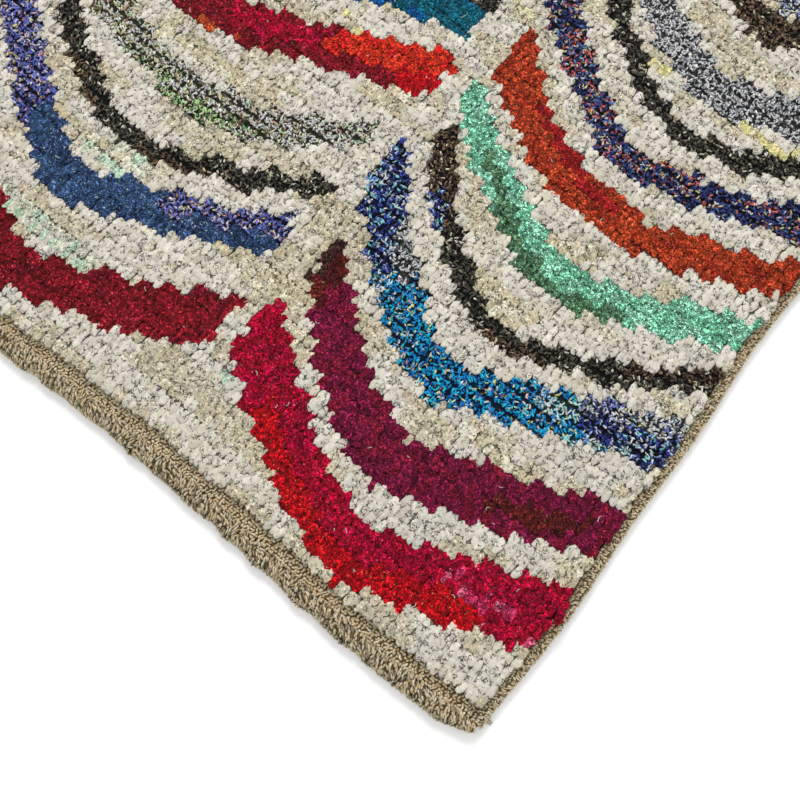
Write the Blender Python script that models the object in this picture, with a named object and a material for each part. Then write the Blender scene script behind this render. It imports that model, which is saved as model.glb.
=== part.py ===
"""Hand-woven pile rug, about 600 x 900 mm, lying flat.

A knotted pile field is held between two overcast side cords, the selvedges. At each end a narrow
flat-woven band follows the last row of knots, and the warp ends are plaited into a ridged edge past it.
The origin is under the middle of the rug, on the floor: +X runs across the wefts to the right selvedge,
+Y along the warps to the far end and +Z up. The outline is a little wavy, as handwork is, and the far and
left edges are the near and right ones turned half round.
"""

import math

import bmesh
import bpy

# Driving sizes, in metres
WIDTH = 0.600  # from selvedge to selvedge, over their outer sides, on average
LENGTH = 0.900  # from plaited end to plaited end, over their outer sides, on average
SELVEDGE_WIDTH = 0.0080
SELVEDGE_HEIGHT = 0.0070
PLAIT_WIDTH = 0.0130
PLAIT_HEIGHT = 0.0080
WEAVE_WIDTH = 0.0085
WEAVE_HEIGHT = 0.0050
PILE_TOP = 0.0115  # the pile's mean height over the floor
GAP = 0.0005  # left between two pieces that touch

# Waves of the outline: each edge wanders outwards and back
SIDE_SWING = 0.0034
SIDE_SWING_LENGTH = 0.560
SIDE_SWING_PEAK = -0.365  # y of a peak
SIDE_RIPPLE = 0.0011
SIDE_RIPPLE_LENGTH = 0.150
SIDE_RIPPLE_PEAK = -0.358
END_SWING = 0.0022
END_SWING_LENGTH = 0.310
END_SWING_PEAK = 0.200  # x of a peak
CORNER_DRAW = 0.0060  # how far the plait's outer side draws in at a corner
CORNER_REACH = 0.0300  # over this length

# The plaited end: slanted ridges, one to each pair of warps turned back
RIDGE_PITCH = 0.0090
RIDGE_DEPTH = 0.16  # of the section, in the grooves between ridges
RIDGE_SLANT = 0.0060  # shift along the edge from the outer to the inner side

# The pile's unevenness
PILE_SWELL = 0.0005
PILE_SWELL_X = 0.146
PILE_SWELL_Y = 0.118
PILE_SHOULDER = 0.0030  # the pile is this much lower along its rim

# Steps of the meshes
FIELD_STEPS_X = 22
FIELD_STEPS_Y = 34
SELVEDGE_STEPS = 40
WEAVE_STEPS = 36
SELVEDGE_SIDES = 8
PLAIT_SIDES = 6
PLACE_PASSES = 4  # passes that settle where a point of the field lies between four wavy edges


def wave(at, swing, length, peak):
    """A cosine of the given swing and length, with a crest at peak."""
    return swing * math.cos(2 * math.pi * (at - peak) / length)


def right_edge(y):
    """x of the right selvedge's outer side."""
    swing = wave(y, SIDE_SWING, SIDE_SWING_LENGTH, SIDE_SWING_PEAK)
    ripple = wave(y, SIDE_RIPPLE, SIDE_RIPPLE_LENGTH, SIDE_RIPPLE_PEAK)
    return WIDTH / 2 + swing + ripple


def near_edge(x):
    """y of the near plait's outer side, before the corners draw in."""
    return -LENGTH / 2 - wave(x, END_SWING, END_SWING_LENGTH, END_SWING_PEAK)


def corner_draw(x):
    """How far the plait's outer side is drawn in at x: nothing but near a corner."""
    into = (abs(x) - (WIDTH / 2 - CORNER_REACH)) / CORNER_REACH
    return CORNER_DRAW * max(0.0, into) ** 2


def turned(points):
    """The points turned half round +Z, for the far and left edges."""
    return [(-x, -y, z) for x, y, z in points]


def section(sides, width, height):
    """A rounded section with a flat foot and a flat top, as (across, up) pairs from the foot up."""
    angles = [math.pi * (0.5 + (2 * k + 1) / sides) for k in range(sides)]
    widest = max(math.cos(angle) for angle in angles)
    tallest = max(math.sin(angle) for angle in angles)
    return [
        (width / 2 * math.cos(angle) / widest, height / 2 * (1 + math.sin(angle) / tallest))
        for angle in angles
    ]


def yarn(name, colour, roughness):
    """A matt yarn's material."""
    material = bpy.data.materials.new(name)
    material.use_nodes = True
    shader = material.node_tree.nodes["Principled BSDF"]
    shader.inputs["Base Color"].default_value = (*colour, 1.0)
    shader.inputs["Roughness"].default_value = roughness
    shader.inputs["Metallic"].default_value = 0.0
    return material


def cap(bm, ring, in_rungs):
    """Closes an end with one face or, in rungs, with a strip between its foot and the points over it."""
    if not in_rungs:
        bm.faces.new(ring)
        return
    for k in range(len(ring) // 2 - 1):
        bm.faces.new((ring[k], ring[k + 1], ring[-2 - k], ring[-1 - k]))


def loft(name, rings, material, in_rungs=False):
    """One closed object through rings of points, each joined to the next, with a cap at both ends."""
    mesh = bpy.data.meshes.new(name)
    bm = bmesh.new()
    rows = [[bm.verts.new(point) for point in ring] for ring in rings]
    for here, after in zip(rows, rows[1:]):
        for k, corner in enumerate(here):
            n = (k + 1) % len(here)
            bm.faces.new((corner, here[n], after[n], after[k]))
    cap(bm, rows[0], in_rungs)
    cap(bm, rows[-1], in_rungs)
    bmesh.ops.recalc_face_normals(bm, faces=bm.faces)
    bm.to_mesh(mesh)
    bm.free()
    mesh.materials.append(material)
    item = bpy.data.objects.new(name, mesh)
    bpy.context.scene.collection.objects.link(item)
    return item


def spaced(start, end, steps):
    """steps + 1 values from start to end."""
    return [start + (end - start) * k / steps for k in range(steps + 1)]


def selvedge_rings():
    """Sections of the right selvedge, from the near plait to the far one."""
    inner_near = near_edge(WIDTH / 2) + PLAIT_WIDTH + GAP
    inner_far = -near_edge(-WIDTH / 2) - PLAIT_WIDTH - GAP
    outline = section(SELVEDGE_SIDES, SELVEDGE_WIDTH, SELVEDGE_HEIGHT)
    rings = []
    for y in spaced(inner_near, inner_far, SELVEDGE_STEPS):
        middle = right_edge(y) - SELVEDGE_WIDTH / 2
        rings.append([(middle + across, y, up) for across, up in outline])
    return rings


def plait_rings():
    """Slanted sections of the near plait, a ridge and a groove in turn."""
    half = WIDTH / 2 - RIDGE_SLANT / 2
    steps = 2 * round(2 * half / RIDGE_PITCH)
    rings = []
    for k, x in enumerate(spaced(-half, half, steps)):
        draw = corner_draw(x)
        full = 1.0 if k % 2 else 1.0 - RIDGE_DEPTH
        width = (PLAIT_WIDTH - draw) * full
        middle = near_edge(x) + PLAIT_WIDTH - width / 2
        ring = []
        for across, up in section(PLAIT_SIDES, width, PLAIT_HEIGHT * full):
            along = x + RIDGE_SLANT * across / PLAIT_WIDTH
            ring.append((along, middle + across, up))
        rings.append(ring)
    return rings


def weave_rings():
    """Sections of the near flat-woven band, from the left selvedge to the right one."""
    y = -LENGTH / 2 + PLAIT_WIDTH + WEAVE_WIDTH / 2
    right = right_edge(y) - SELVEDGE_WIDTH - GAP
    left = -right_edge(-y) + SELVEDGE_WIDTH + GAP
    crown = WEAVE_HEIGHT / 6
    rings = []
    for x in spaced(left, right, WEAVE_STEPS):
        outer = near_edge(x) + PLAIT_WIDTH + GAP
        inner = near_edge(x) + PLAIT_WIDTH + WEAVE_WIDTH
        rings.append(
            [
                (x, outer, 0.0),
                (x, inner, 0.0),
                (x, inner, WEAVE_HEIGHT - crown),
                (x, (inner + outer) / 2, WEAVE_HEIGHT),
                (x, outer, WEAVE_HEIGHT - crown),
            ]
        )
    return rings


def pile_height(x, y):
    """z of the pile's top: it swells and sinks a little from place to place."""
    across = wave(x, PILE_SWELL, PILE_SWELL_X, 0.0)
    along = wave(y, PILE_SWELL, PILE_SWELL_Y, 0.0)
    return PILE_TOP + across + along


def between(low, high, share):
    """The value that lies this share of the way from low to high."""
    return low + share * (high - low)


def field_place(across, along):
    """(x, y) on the pile field, from its left and near rim: each rim follows the piece beside it."""
    border = PLAIT_WIDTH + WEAVE_WIDTH + GAP
    cord = SELVEDGE_WIDTH + GAP
    x = between(-WIDTH / 2, WIDTH / 2, across)
    for _ in range(PLACE_PASSES):
        y = between(near_edge(x) + border, -near_edge(-x) - border, along)
        x = between(cord - right_edge(-y), right_edge(y) - cord, across)
    return x, y


def field_rings():
    """Sections of the pile field across the rug, from the near band to the far one."""
    rings = []
    for step, along in enumerate(spaced(0.0, 1.0, FIELD_STEPS_Y)):
        rim_drop = PILE_SHOULDER if step in (0, FIELD_STEPS_Y) else 0.0
        places = [field_place(across, along) for across in spaced(0.0, 1.0, FIELD_STEPS_X)]
        foot = [(x, y, 0.0) for x, y in places]
        top = [(x, y, pile_height(x, y) - rim_drop) for x, y in places[1:-1]]
        left, right = [(x, y, pile_height(x, y) - PILE_SHOULDER) for x, y in (places[0], places[-1])]
        rings.append([*foot, right, *reversed(top), left])
    return rings


def rest_flat(rings):
    """The rings with their lowest points exactly on the floor."""
    foot = 1e-6
    return [[(x, y, 0.0 if z < foot else z) for x, y, z in ring] for ring in rings]


def build():
    """Clears the scene and makes the rug's pieces."""
    for item in list(bpy.data.objects):
        bpy.data.objects.remove(item)
    pile_yarn = yarn("pile_yarn", (0.58, 0.54, 0.46), 0.95)
    tan_yarn = yarn("tan_yarn", (0.30, 0.24, 0.16), 0.9)
    loft("pile_field", rest_flat(field_rings()), pile_yarn, in_rungs=True)
    for name, rings in (
        ("selvedge_{}", selvedge_rings()),
        ("end_plait_{}", plait_rings()),
        ("end_weave_{}", weave_rings()),
    ):
        here, opposite = ("right", "left") if "selvedge" in name else ("near", "far")
        flat = rest_flat(rings)
        loft(name.format(here), flat, tan_yarn)
        loft(name.format(opposite), [turned(ring) for ring in flat], tan_yarn)


build()
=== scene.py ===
"""Dresses the hand-woven pile rug: knotted pile in scalloped stripes, woven bands, plaits and selvedges.

Cream knots are felted cushions, plain coloured knots are cushions with fine ends on them, and speckled knots
are loose cut ends with dark gaps. The stripes are worked out from a short table of arcs, knot by knot, so
their edges step as knots do. Lengths are in metres, but for the tables of the pattern, which are in
millimetres. All shapes sit in the part's own frame: +X across to the right selvedge, +Y along the warps, +Z
up, with the origin under the rug's middle.
"""

import logging
from dataclasses import dataclass, field, fields, replace
from enum import Enum, IntEnum
from typing import NamedTuple

import bpy
import numpy as np
from mathutils import Matrix, Vector


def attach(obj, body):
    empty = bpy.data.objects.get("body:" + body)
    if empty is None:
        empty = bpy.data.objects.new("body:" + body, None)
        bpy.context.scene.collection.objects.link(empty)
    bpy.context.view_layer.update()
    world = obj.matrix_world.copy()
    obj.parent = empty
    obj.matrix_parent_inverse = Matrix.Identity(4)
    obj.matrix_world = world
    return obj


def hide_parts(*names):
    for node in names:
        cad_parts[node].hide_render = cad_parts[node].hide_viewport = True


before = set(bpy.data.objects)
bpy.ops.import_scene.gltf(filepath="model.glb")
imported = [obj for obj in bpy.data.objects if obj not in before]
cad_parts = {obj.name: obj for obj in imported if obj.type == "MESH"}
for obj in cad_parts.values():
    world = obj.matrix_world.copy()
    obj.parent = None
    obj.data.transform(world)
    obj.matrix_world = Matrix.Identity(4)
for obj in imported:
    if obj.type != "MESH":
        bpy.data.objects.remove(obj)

Array = np.ndarray
Colour = tuple[int, int, int]

LOG = logging.getLogger("rug")
MM = 0.001
FULL_TURN = 2.0 * np.pi
BRIGHTEST = 0.92  # no yarn gives back more of the light than this
PALE_FROM = 140  # a yarn is pale where each of its channels is above this, of 255
UPWARDS = (0.0, 0.0, 1.0)
BODY = "root"
PILE_SLOT = "pile_yarn"
TAN_SLOT = "tan_yarn"
COLOUR_LAYER = "yarn_colour"
# per point: how much painted shade the yarn gets, from 0 to 1
PAINTED_SHADE_LAYER = "painted_shade_depth"
BAKE_MAP = "OFBake"
KNOT_MAP = "knot_grid"


# Arrays, random values and colours


class Seed(IntEnum):
    """Where each kind of random number starts, so that every run gives the same rug."""

    ROWS = 3
    KNOTS = 5
    STREAKS = 7
    RAGGED_EDGES = 11
    WARM_PATCHES = 13
    WARM_CRUMBS = 14
    SPILL = 17
    CLOTH_LUMPS = 21
    SELVEDGE = 31
    SELVEDGE_HEADINGS = 32
    END_WEAVE = 41
    END_PLAIT = 51
    PLAIT_HEADINGS = 52
    PLAIT_LUMPS = 53
    PLAIT_ROPES = 56
    LINT = 61
    BACK = 77
    FIRST_STRIP = 100


def stray(rng: np.random.Generator, shape: int | tuple[int, ...]) -> Array:
    """Random values from -1 to 1."""
    return rng.uniform(-1.0, 1.0, shape)


def together(*parts: Array | float) -> Array:
    """The parts side by side, as the last axis of one array."""
    return np.stack(np.broadcast_arrays(*parts), axis=-1)


def inset(places: Array, by: float) -> Array:
    """Places in a cell, from 0 to 1, moved in from its rim."""
    return places * (1.0 - 2.0 * by) + by


@dataclass
class Unevenness:
    """Smooth random values from -1 to 1 over a plane. Rows some steps apart have values of their own."""

    seed: Seed
    side: int = 256
    table: Array = field(init=False)

    def __post_init__(self) -> None:
        """Draws the values at the corners of the lattice."""
        self.table = np.random.default_rng(self.seed).uniform(-1.0, 1.0, (self.side, self.side))

    def at(self, a: Array, b: Array) -> Array:
        """Values at the places (a, b): the lattice's four corners round each, blended smoothly.

        Args:
            a: First coordinate, in lattice steps.
            b: Second coordinate, in lattice steps.

        Returns:
            One value for each place.
        """
        low_a, low_b = np.floor(a).astype(int), np.floor(b).astype(int)
        part_a, part_b = a - low_a, b - low_b
        part_a = part_a * part_a * (3.0 - 2.0 * part_a)
        part_b = part_b * part_b * (3.0 - 2.0 * part_b)
        i, j = low_a % self.side, low_b % self.side
        i_next, j_next = (low_a + 1) % self.side, (low_b + 1) % self.side
        near = self.table[i, j] * (1.0 - part_a) + self.table[i_next, j] * part_a
        far = self.table[i, j_next] * (1.0 - part_a) + self.table[i_next, j_next] * part_a
        return near * (1.0 - part_b) + far * part_b


def linear(colour: Array) -> Array:
    """Light values, from 0 to 1, of colours given as seen, from 0 to 255, by the usual curve of a screen."""
    seen = np.asarray(colour, float) / 255.0
    return np.where(seen <= 0.04045, seen / 12.92, ((seen + 0.055) / 1.055) ** 2.4)


# Yarns


class PileKind(Enum):
    """How a knot's ends lie."""

    FELTED = "felted"  # one soft cushion, nearly smooth
    MATTED = "matted"  # a cushion with fine ends on it
    LOOSE = "loose"  # short ends apart, with dark gaps


class Yarn(NamedTuple):
    """One yarn: its colours as seen, and how mixed and dark it is."""

    name: str
    main: Colour
    second: Colour
    second_share: float
    flecks: tuple[Colour, ...]
    fleck_share: float
    kind: PileKind = PileKind.LOOSE

    @property
    def is_pale(self) -> bool:
        """Whether the main colour is pale."""
        return min(self.main) > PALE_FROM

    @property
    def liveliness(self) -> float:
        """How strongly curls, with their painted highlights and the painted shade of their gaps, show in the
        finish: least on felt, and little on loose ends and pale yarns.

        Returns:
            A share from 0 to 1.
        """
        if self.kind is PileKind.FELTED:
            return 0.12
        return 0.30 if self.kind is PileKind.LOOSE or self.is_pale else 1.0


FELTED, MATTED, LOOSE = PileKind
YARNS = (
    Yarn("cream", (209, 203, 190), (198, 190, 174), 0.35, (), 0.0, FELTED),
    Yarn("warm cream", (209, 199, 177), (198, 187, 160), 0.40, ((150, 134, 104),), 0.04, MATTED),
    Yarn("beige", (202, 191, 160), (220, 212, 190), 0.40, ((112, 98, 72),), 0.10, MATTED),
    Yarn("pale mint", (211, 209, 190), (188, 213, 188), 0.34, (), 0.0, MATTED),
    Yarn("pale yellow", (222, 212, 148), (212, 204, 168), 0.35, (), 0.0, MATTED),
    Yarn("crimson", (198, 8, 58), (172, 4, 48), 0.40, ((238, 92, 120),), 0.10, MATTED),
    Yarn("bright red", (218, 14, 28), (190, 12, 24), 0.35, ((232, 112, 80),), 0.10, MATTED),
    Yarn("dark red", (160, 26, 44), (128, 20, 34), 0.40, ((206, 84, 98),), 0.14, MATTED),
    Yarn("scarlet", (250, 62, 36), (232, 36, 34), 0.35, ((250, 122, 66),), 0.14, MATTED),
    Yarn("plum", (134, 24, 66), (146, 28, 56), 0.35, ((190, 56, 122),), 0.10, MATTED),
    Yarn("brown red", (114, 36, 34), (98, 30, 32), 0.40, ((150, 104, 88),), 0.08, MATTED),
    Yarn("dark umber", (70, 48, 40), (78, 44, 38), 0.40, ((126, 98, 80),), 0.10, MATTED),
    Yarn("pink", (216, 52, 100), (238, 104, 140), 0.34, (), 0.0, MATTED),
    Yarn(
        "blue", (24, 146, 228), (32, 120, 200), 0.34,
        ((246, 236, 140), (246, 160, 150), (240, 245, 245)), 0.21,
    ),
    Yarn(
        "navy", (48, 60, 132), (40, 46, 98), 0.35,
        ((226, 230, 234), (164, 180, 214), (92, 120, 190), (112, 196, 184)), 0.44,
    ),
    Yarn("navy speckle", (88, 100, 152), (232, 236, 238), 0.58, ((170, 228, 214), (244, 222, 150)), 0.14),
    Yarn("pale teal", (132, 208, 202), (200, 230, 220), 0.40, ((30, 110, 178), (240, 244, 240)), 0.34),
    Yarn("black", (72, 70, 60), (48, 46, 40), 0.40, ((186, 176, 154), (120, 112, 94)), 0.22),
    Yarn("dark brown", (98, 82, 64), (64, 54, 45), 0.38, ((190, 170, 142), (104, 84, 68)), 0.18),
    Yarn("mint", (139, 226, 182), (160, 232, 194), 0.45, ((206, 246, 226), (92, 156, 116)), 0.12, MATTED),
    Yarn("forest", (110, 158, 118), (88, 130, 96), 0.40, ((170, 212, 176), (44, 60, 46)), 0.26, MATTED),
    Yarn("rust", (204, 76, 40), (176, 54, 30), 0.35, ((232, 138, 96),), 0.10, MATTED),
    Yarn("brick", (188, 38, 38), (162, 30, 32), 0.40, (), 0.0, MATTED),
    Yarn(
        "flecked navy", (48, 58, 108), (80, 106, 150), 0.34,
        ((236, 96, 84), (214, 224, 240), (236, 176, 120)), 0.34,
    ),
    Yarn("grey speckle", (196, 200, 204), (252, 254, 254), 0.55, ((50, 52, 58), (120, 124, 130)), 0.24),
    Yarn("denim", (68, 98, 144), (50, 72, 112), 0.40, ((170, 190, 216),), 0.20, MATTED),
    Yarn(
        "violet", (84, 94, 160), (112, 118, 178), 0.35,
        ((236, 160, 166), (236, 176, 120), (226, 230, 240)), 0.28,
    ),
    Yarn(
        "olive speckle", (234, 224, 184), (248, 242, 222), 0.35,
        ((172, 222, 160), (92, 88, 62), (250, 180, 168), (176, 166, 126)), 0.44,
    ),
    Yarn(
        "leaf green", (158, 196, 132), (104, 142, 92), 0.35,
        ((244, 240, 214), (196, 222, 166), (60, 66, 46), (238, 170, 150)), 0.46,
    ),
    Yarn(
        "pale speckle", (226, 212, 184), (200, 190, 150), 0.30,
        ((240, 160, 154), (150, 196, 150), (74, 70, 62), (252, 246, 234)), 0.40,
    ),
    Yarn("teal", (18, 114, 138), (12, 94, 120), 0.40, ((80, 170, 188),), 0.10, MATTED),
    Yarn("sea blue", (22, 106, 176), (20, 86, 150), 0.40, (), 0.0, MATTED),
    Yarn("orange rust", (208, 94, 46), (188, 64, 38), 0.40, (), 0.0, MATTED),
)
YARN_NUMBER = {yarn.name: number for number, yarn in enumerate(YARNS)}


# The scalloped pattern, in millimetres: across from the right selvedge, up from the near end


class Column(Enum):
    """The two columns of nested arcs."""

    RIGHT = "right"
    LEFT = "left"


RIGHT, LEFT = Column


class Band(NamedTuple):
    """One arc: its lowest point, and how far and by what power its middle rises to its end on either side."""

    column: Column
    place: int
    yarn: str
    low_across: float
    low_up: float
    thick: float
    left_end: float
    left_rise: float
    left_power: float
    left_thick: float
    right_end: float
    right_rise: float
    right_power: float
    right_thick: float


BANDS = (
    Band(RIGHT, 1, "crimson", 122, 44, 39, 272, 78, 1.6, 40, -8, 50, 1.1, 44),
    Band(RIGHT, 2, "plum", 142, 104, 38, 268, 88, 1.7, 22, -8, 56, 1.15, 39),
    Band(RIGHT, 3, "blue", 152, 165, 30, 283, 105, 1.5, 36, 2, 63, 1.05, 37),
    Band(RIGHT, 4, "black", 143, 213, 17, 263, 96, 1.6, 22, 4, 70, 1.6, 17),
    Band(RIGHT, 5, "mint", 130, 268, 28, 269, 79, 1.45, 22, 1, 54, 1.25, 28),
    Band(RIGHT, 6, "rust", 112, 330, 27, 268, 68, 2.55, 36, 4, 40, 1.2, 33),
    Band(RIGHT, 7, "flecked navy", 140, 370, 23, 272, 88, 1.45, 28, -8, 50, 1.1, 34),
    Band(RIGHT, 8, "black", 124, 412, 15, 264, 106, 1.8, 18, 6, 55, 1.45, 16),
    Band(RIGHT, 9, "grey speckle", 132, 458, 31, 266, 88, 1.6, 32, -8, 50, 1.3, 33),
    Band(RIGHT, 10, "dark brown", 130, 527, 26, 268, 80, 1.6, 28, -8, 50, 1.3, 30),
    Band(RIGHT, 11, "navy speckle", 130, 552, 16, 262, 78, 1.6, 18, 10, 50, 1.3, 16),
    Band(RIGHT, 12, "teal", 134, 606, 30, 270, 76, 1.8, 32, -8, 48, 1.2, 36),
    Band(RIGHT, 13, "black", 130, 650, 15, 264, 88, 1.7, 18, 4, 58, 1.4, 15),
    Band(RIGHT, 14, "bright red", 132, 704, 34, 270, 76, 1.6, 34, -8, 46, 1.2, 38),
    Band(RIGHT, 15, "violet", 130, 764, 28, 268, 80, 1.8, 30, -8, 50, 1.2, 32),
    Band(RIGHT, 16, "olive speckle", 134, 822, 28, 270, 74, 1.7, 28, -8, 46, 1.3, 30),
    Band(LEFT, 1, "dark red", 425, 48, 35, 580, 82, 1.55, 36, 286, 59, 1.4, 43),
    Band(LEFT, 2, "denim", 446, 116, 27, 582, 89, 1.25, 28, 297, 62, 1.35, 33),
    Band(LEFT, 3, "black", 430, 165, 16, 548, 58, 1.6, 18, 292, 60, 1.45, 16),
    Band(LEFT, 4, "olive speckle", 425, 222, 30, 534, 24, 2.2, 26, 298, 56, 2.2, 20),
    Band(LEFT, 5, "dark red", 460, 280, 34, 578, 66, 1.5, 36, 290, 64, 1.2, 39),
    Band(LEFT, 6, "teal", 440, 362, 28, 580, 60, 1.5, 30, 298, 32, 1.4, 28),
    Band(LEFT, 7, "black", 434, 391, 14, 572, 64, 1.6, 18, 294, 24, 1.4, 14),
    Band(LEFT, 8, "rust", 436, 436, 30, 578, 70, 1.7, 32, 288, 54, 1.4, 32),
    Band(LEFT, 9, "plum", 434, 488, 28, 580, 74, 1.7, 32, 290, 58, 1.4, 34),
    Band(LEFT, 10, "black", 432, 530, 15, 574, 74, 1.6, 18, 294, 58, 1.4, 15),
    Band(LEFT, 11, "blue", 438, 580, 32, 580, 74, 1.5, 34, 290, 54, 1.3, 36),
    Band(LEFT, 12, "mint", 434, 640, 28, 578, 70, 1.5, 30, 290, 52, 1.4, 30),
    Band(LEFT, 13, "dark brown", 432, 682, 16, 572, 72, 1.7, 20, 294, 54, 1.4, 16),
    Band(LEFT, 14, "crimson", 436, 738, 34, 580, 74, 1.6, 36, 288, 56, 1.3, 38),
    Band(LEFT, 15, "flecked navy", 434, 798, 28, 578, 72, 1.7, 30, 292, 50, 1.4, 32),
    Band(LEFT, 16, "rust", 436, 852, 28, 578, 70, 1.6, 30, 290, 50, 1.4, 30),
)


class Patch(NamedTuple):
    """Part of an arc knotted in another yarn, from low to high as shares of its half thickness."""

    column: Column
    place: int
    yarn: str
    left: float
    right: float
    low: float
    high: float


PATCHES = (
    Patch(RIGHT, 1, "bright red", 232, 36, -1.4, -0.05),
    Patch(RIGHT, 1, "pink", 74, 54, 0.22, 0.46),
    Patch(RIGHT, 1, "pink", 58, 38, -0.04, 0.22),
    Patch(RIGHT, 1, "pink", 42, 22, -0.34, 0.02),
    Patch(RIGHT, 1, "pink", 12, 1, -0.95, -0.60),
    Patch(RIGHT, 2, "brown red", 290, 246, -2.0, 2.0),
    Patch(RIGHT, 2, "dark umber", 290, 259, -2.0, 2.0),
    Patch(RIGHT, 2, "brown red", 80, 20, -0.5, 0.1),
    Patch(RIGHT, 3, "navy", 290, 222, -2.0, 2.0),
    Patch(RIGHT, 3, "grey speckle", 240, 206, 0.1, 2.0),
    Patch(RIGHT, 3, "pale teal", 236, 216, -0.9, -0.4),
    Patch(RIGHT, 3, "pale teal", 96, 44, -0.15, 0.75),
    Patch(RIGHT, 3, "navy speckle", 72, -8, 0.2, 1.0),
    Patch(RIGHT, 3, "navy", 62, -8, -1.2, 0.2),
    Patch(RIGHT, 3, "pale teal", 66, 30, -1.2, -0.55),
    Patch(RIGHT, 4, "dark brown", 264, 214, -2.0, 2.0),
    Patch(RIGHT, 4, "dark brown", 150, 108, -1.0, 0.1),
    Patch(RIGHT, 4, "dark brown", 62, 4, 0.0, 1.0),
    Patch(RIGHT, 4, "navy", 236, 214, -1.4, -0.2),
    Patch(RIGHT, 5, "forest", 232, 174, -0.40, 0.30),
    Patch(RIGHT, 5, "forest", 198, 84, -1.2, -0.12),
    Patch(RIGHT, 6, "brick", 224, 166, 0.45, 1.2),
    Patch(RIGHT, 6, "brick", 184, 128, 0.10, 0.60),
    Patch(LEFT, 2, "violet", 380, 290, -0.1, 1.2),
    Patch(LEFT, 2, "violet", 590, 496, -1.2, 1.2),
    Patch(LEFT, 3, "dark brown", 420, 362, -1.2, 0.2),
    Patch(LEFT, 3, "dark brown", 520, 470, -1.2, 0.0),
    Patch(LEFT, 4, "pale speckle", 376, 290, -1.2, 1.2),
    Patch(LEFT, 4, "leaf green", 482, 368, -1.2, -0.35),
    Patch(LEFT, 5, "scarlet", 372, 286, -0.15, 1.2),
    Patch(LEFT, 5, "crimson", 446, 372, -0.25, 0.75),
    Patch(LEFT, 5, "bright red", 318, 286, -1.2, -0.15),
    Patch(LEFT, 5, "orange rust", 458, 424, -1.2, -0.62),
    Patch(LEFT, 6, "sea blue", 384, 330, -1.2, -0.4),
)


class Accent(NamedTuple):
    """A short run of rows in the ground in another yarn."""

    yarn: str
    left: float
    right: float
    low: float
    high: float


ACCENTS = (
    Accent("beige", 342, 238, 138, 153),
    Accent("beige", 206, 128, 226, 246),
    Accent("pale mint", 452, 398, 136, 158),
    Accent("pale mint", 472, 378, 74, 86),
    Accent("pale mint", 264, 253, 74, 82),
    Accent("pale yellow", 376, 340, 333, 341),
    Accent("pale yellow", 296, 268, 423, 431),
    Accent("pale yellow", 202, 168, 443, 450),
    Accent("pale yellow", 106, 64, 441, 449),
    Accent("beige", 112, 34, 144, 153),
    Accent("beige", 482, 392, 241, 256),
    Accent("beige", 12, -4, 116, 170),
    Accent("beige", 206, 96, 288, 296),
    Accent("beige", 330, 292, 296, 312),
    Accent("beige", 500, 420, 148, 156),
)


@dataclass(frozen=True)
class ScallopChart:
    """The pattern as a rule: which yarn each knot is tied in."""

    width_mm: float
    length_mm: float
    steepest: float = 1.5
    farthest: float = 1.3
    ragged_across: float = 4.2
    ragged_up: float = 3.0
    warm_patch: tuple[float, float] = (34.0, 13.0)
    warm_crumb: tuple[float, float] = (9.0, 7.4)
    warm_from: float = 0.28

    def middle(self, band: Band, across: Array) -> tuple[Array, Array]:
        """The arc's middle line: it rises on each side as a power of the way to that side's end.

        Args:
            band: The arc.
            across: Distances from the right selvedge.

        Returns:
            Height of the middle line, and its half thickness measured straight up.
        """
        on_left = across > band.low_across
        span = np.where(on_left, band.left_end - band.low_across, band.low_across - band.right_end)
        rise = np.where(on_left, band.left_rise, band.right_rise)
        power = np.where(on_left, band.left_power, band.right_power)
        way = np.clip(np.abs(across - band.low_across) / span, 0.0, self.farthest)
        slope = np.minimum(rise / span * power * way ** (power - 1.0), self.steepest)
        end_thick = np.where(on_left, band.left_thick, band.right_thick)
        thick = band.thick + (end_thick - band.thick) * way**2
        return band.low_up + rise * way**power, thick / 2.0 * np.sqrt(1.0 + slope**2)

    def yarns(self, x: Array, y: Array, column: Array, row: Array) -> Array:
        """The number of each knot's yarn.

        Args:
            x: Places of the knots, in metres.
            y: The same, along the warps.
            column: The knots' columns, which the ragged edges follow.
            row: The knots' rows.

        Returns:
            Numbers in the list of yarns.
        """
        ragged = Unevenness(Seed.RAGGED_EDGES)
        across = self.width_mm / 2 - x / MM + self.ragged_across * ragged.at(column * 0.45, row * 7.31)
        up = y / MM + self.length_mm / 2 + self.ragged_up * ragged.at(column * 0.37 + 50.0, row * 5.17)
        patchy = Unevenness(Seed.WARM_PATCHES).at(across / self.warm_patch[0], up / self.warm_patch[1])
        crumbly = Unevenness(Seed.WARM_CRUMBS).at(across / self.warm_crumb[0], up / self.warm_crumb[1])
        is_warm = patchy + 0.5 * crumbly > self.warm_from
        numbers = np.where(is_warm, YARN_NUMBER["warm cream"], YARN_NUMBER["cream"])
        for accent in ACCENTS:
            inside = (across < accent.left) & (across > accent.right)
            numbers[inside & (up > accent.low) & (up < accent.high)] = YARN_NUMBER[accent.yarn]
        for band in BANDS:
            middle, half = self.middle(band, across)
            share = (up - middle) / half
            end_top = np.where(
                across > band.low_across,
                band.low_up + band.left_rise + band.left_thick / 2,
                band.low_up + band.right_rise + band.right_thick / 2,
            )
            inside = (np.abs(share) < 1.0) & (across < band.left_end) & (across > band.right_end)
            inside &= up < end_top
            numbers[inside] = YARN_NUMBER[band.yarn]
            for patch in PATCHES:
                if (patch.column, patch.place) == (band.column, band.place):
                    here = (across < patch.left) & (across > patch.right)
                    here &= (share > patch.low) & (share < patch.high)
                    numbers[inside & here] = YARN_NUMBER[patch.yarn]
        return numbers


# The rug's plan, the same as the solids'


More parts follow.
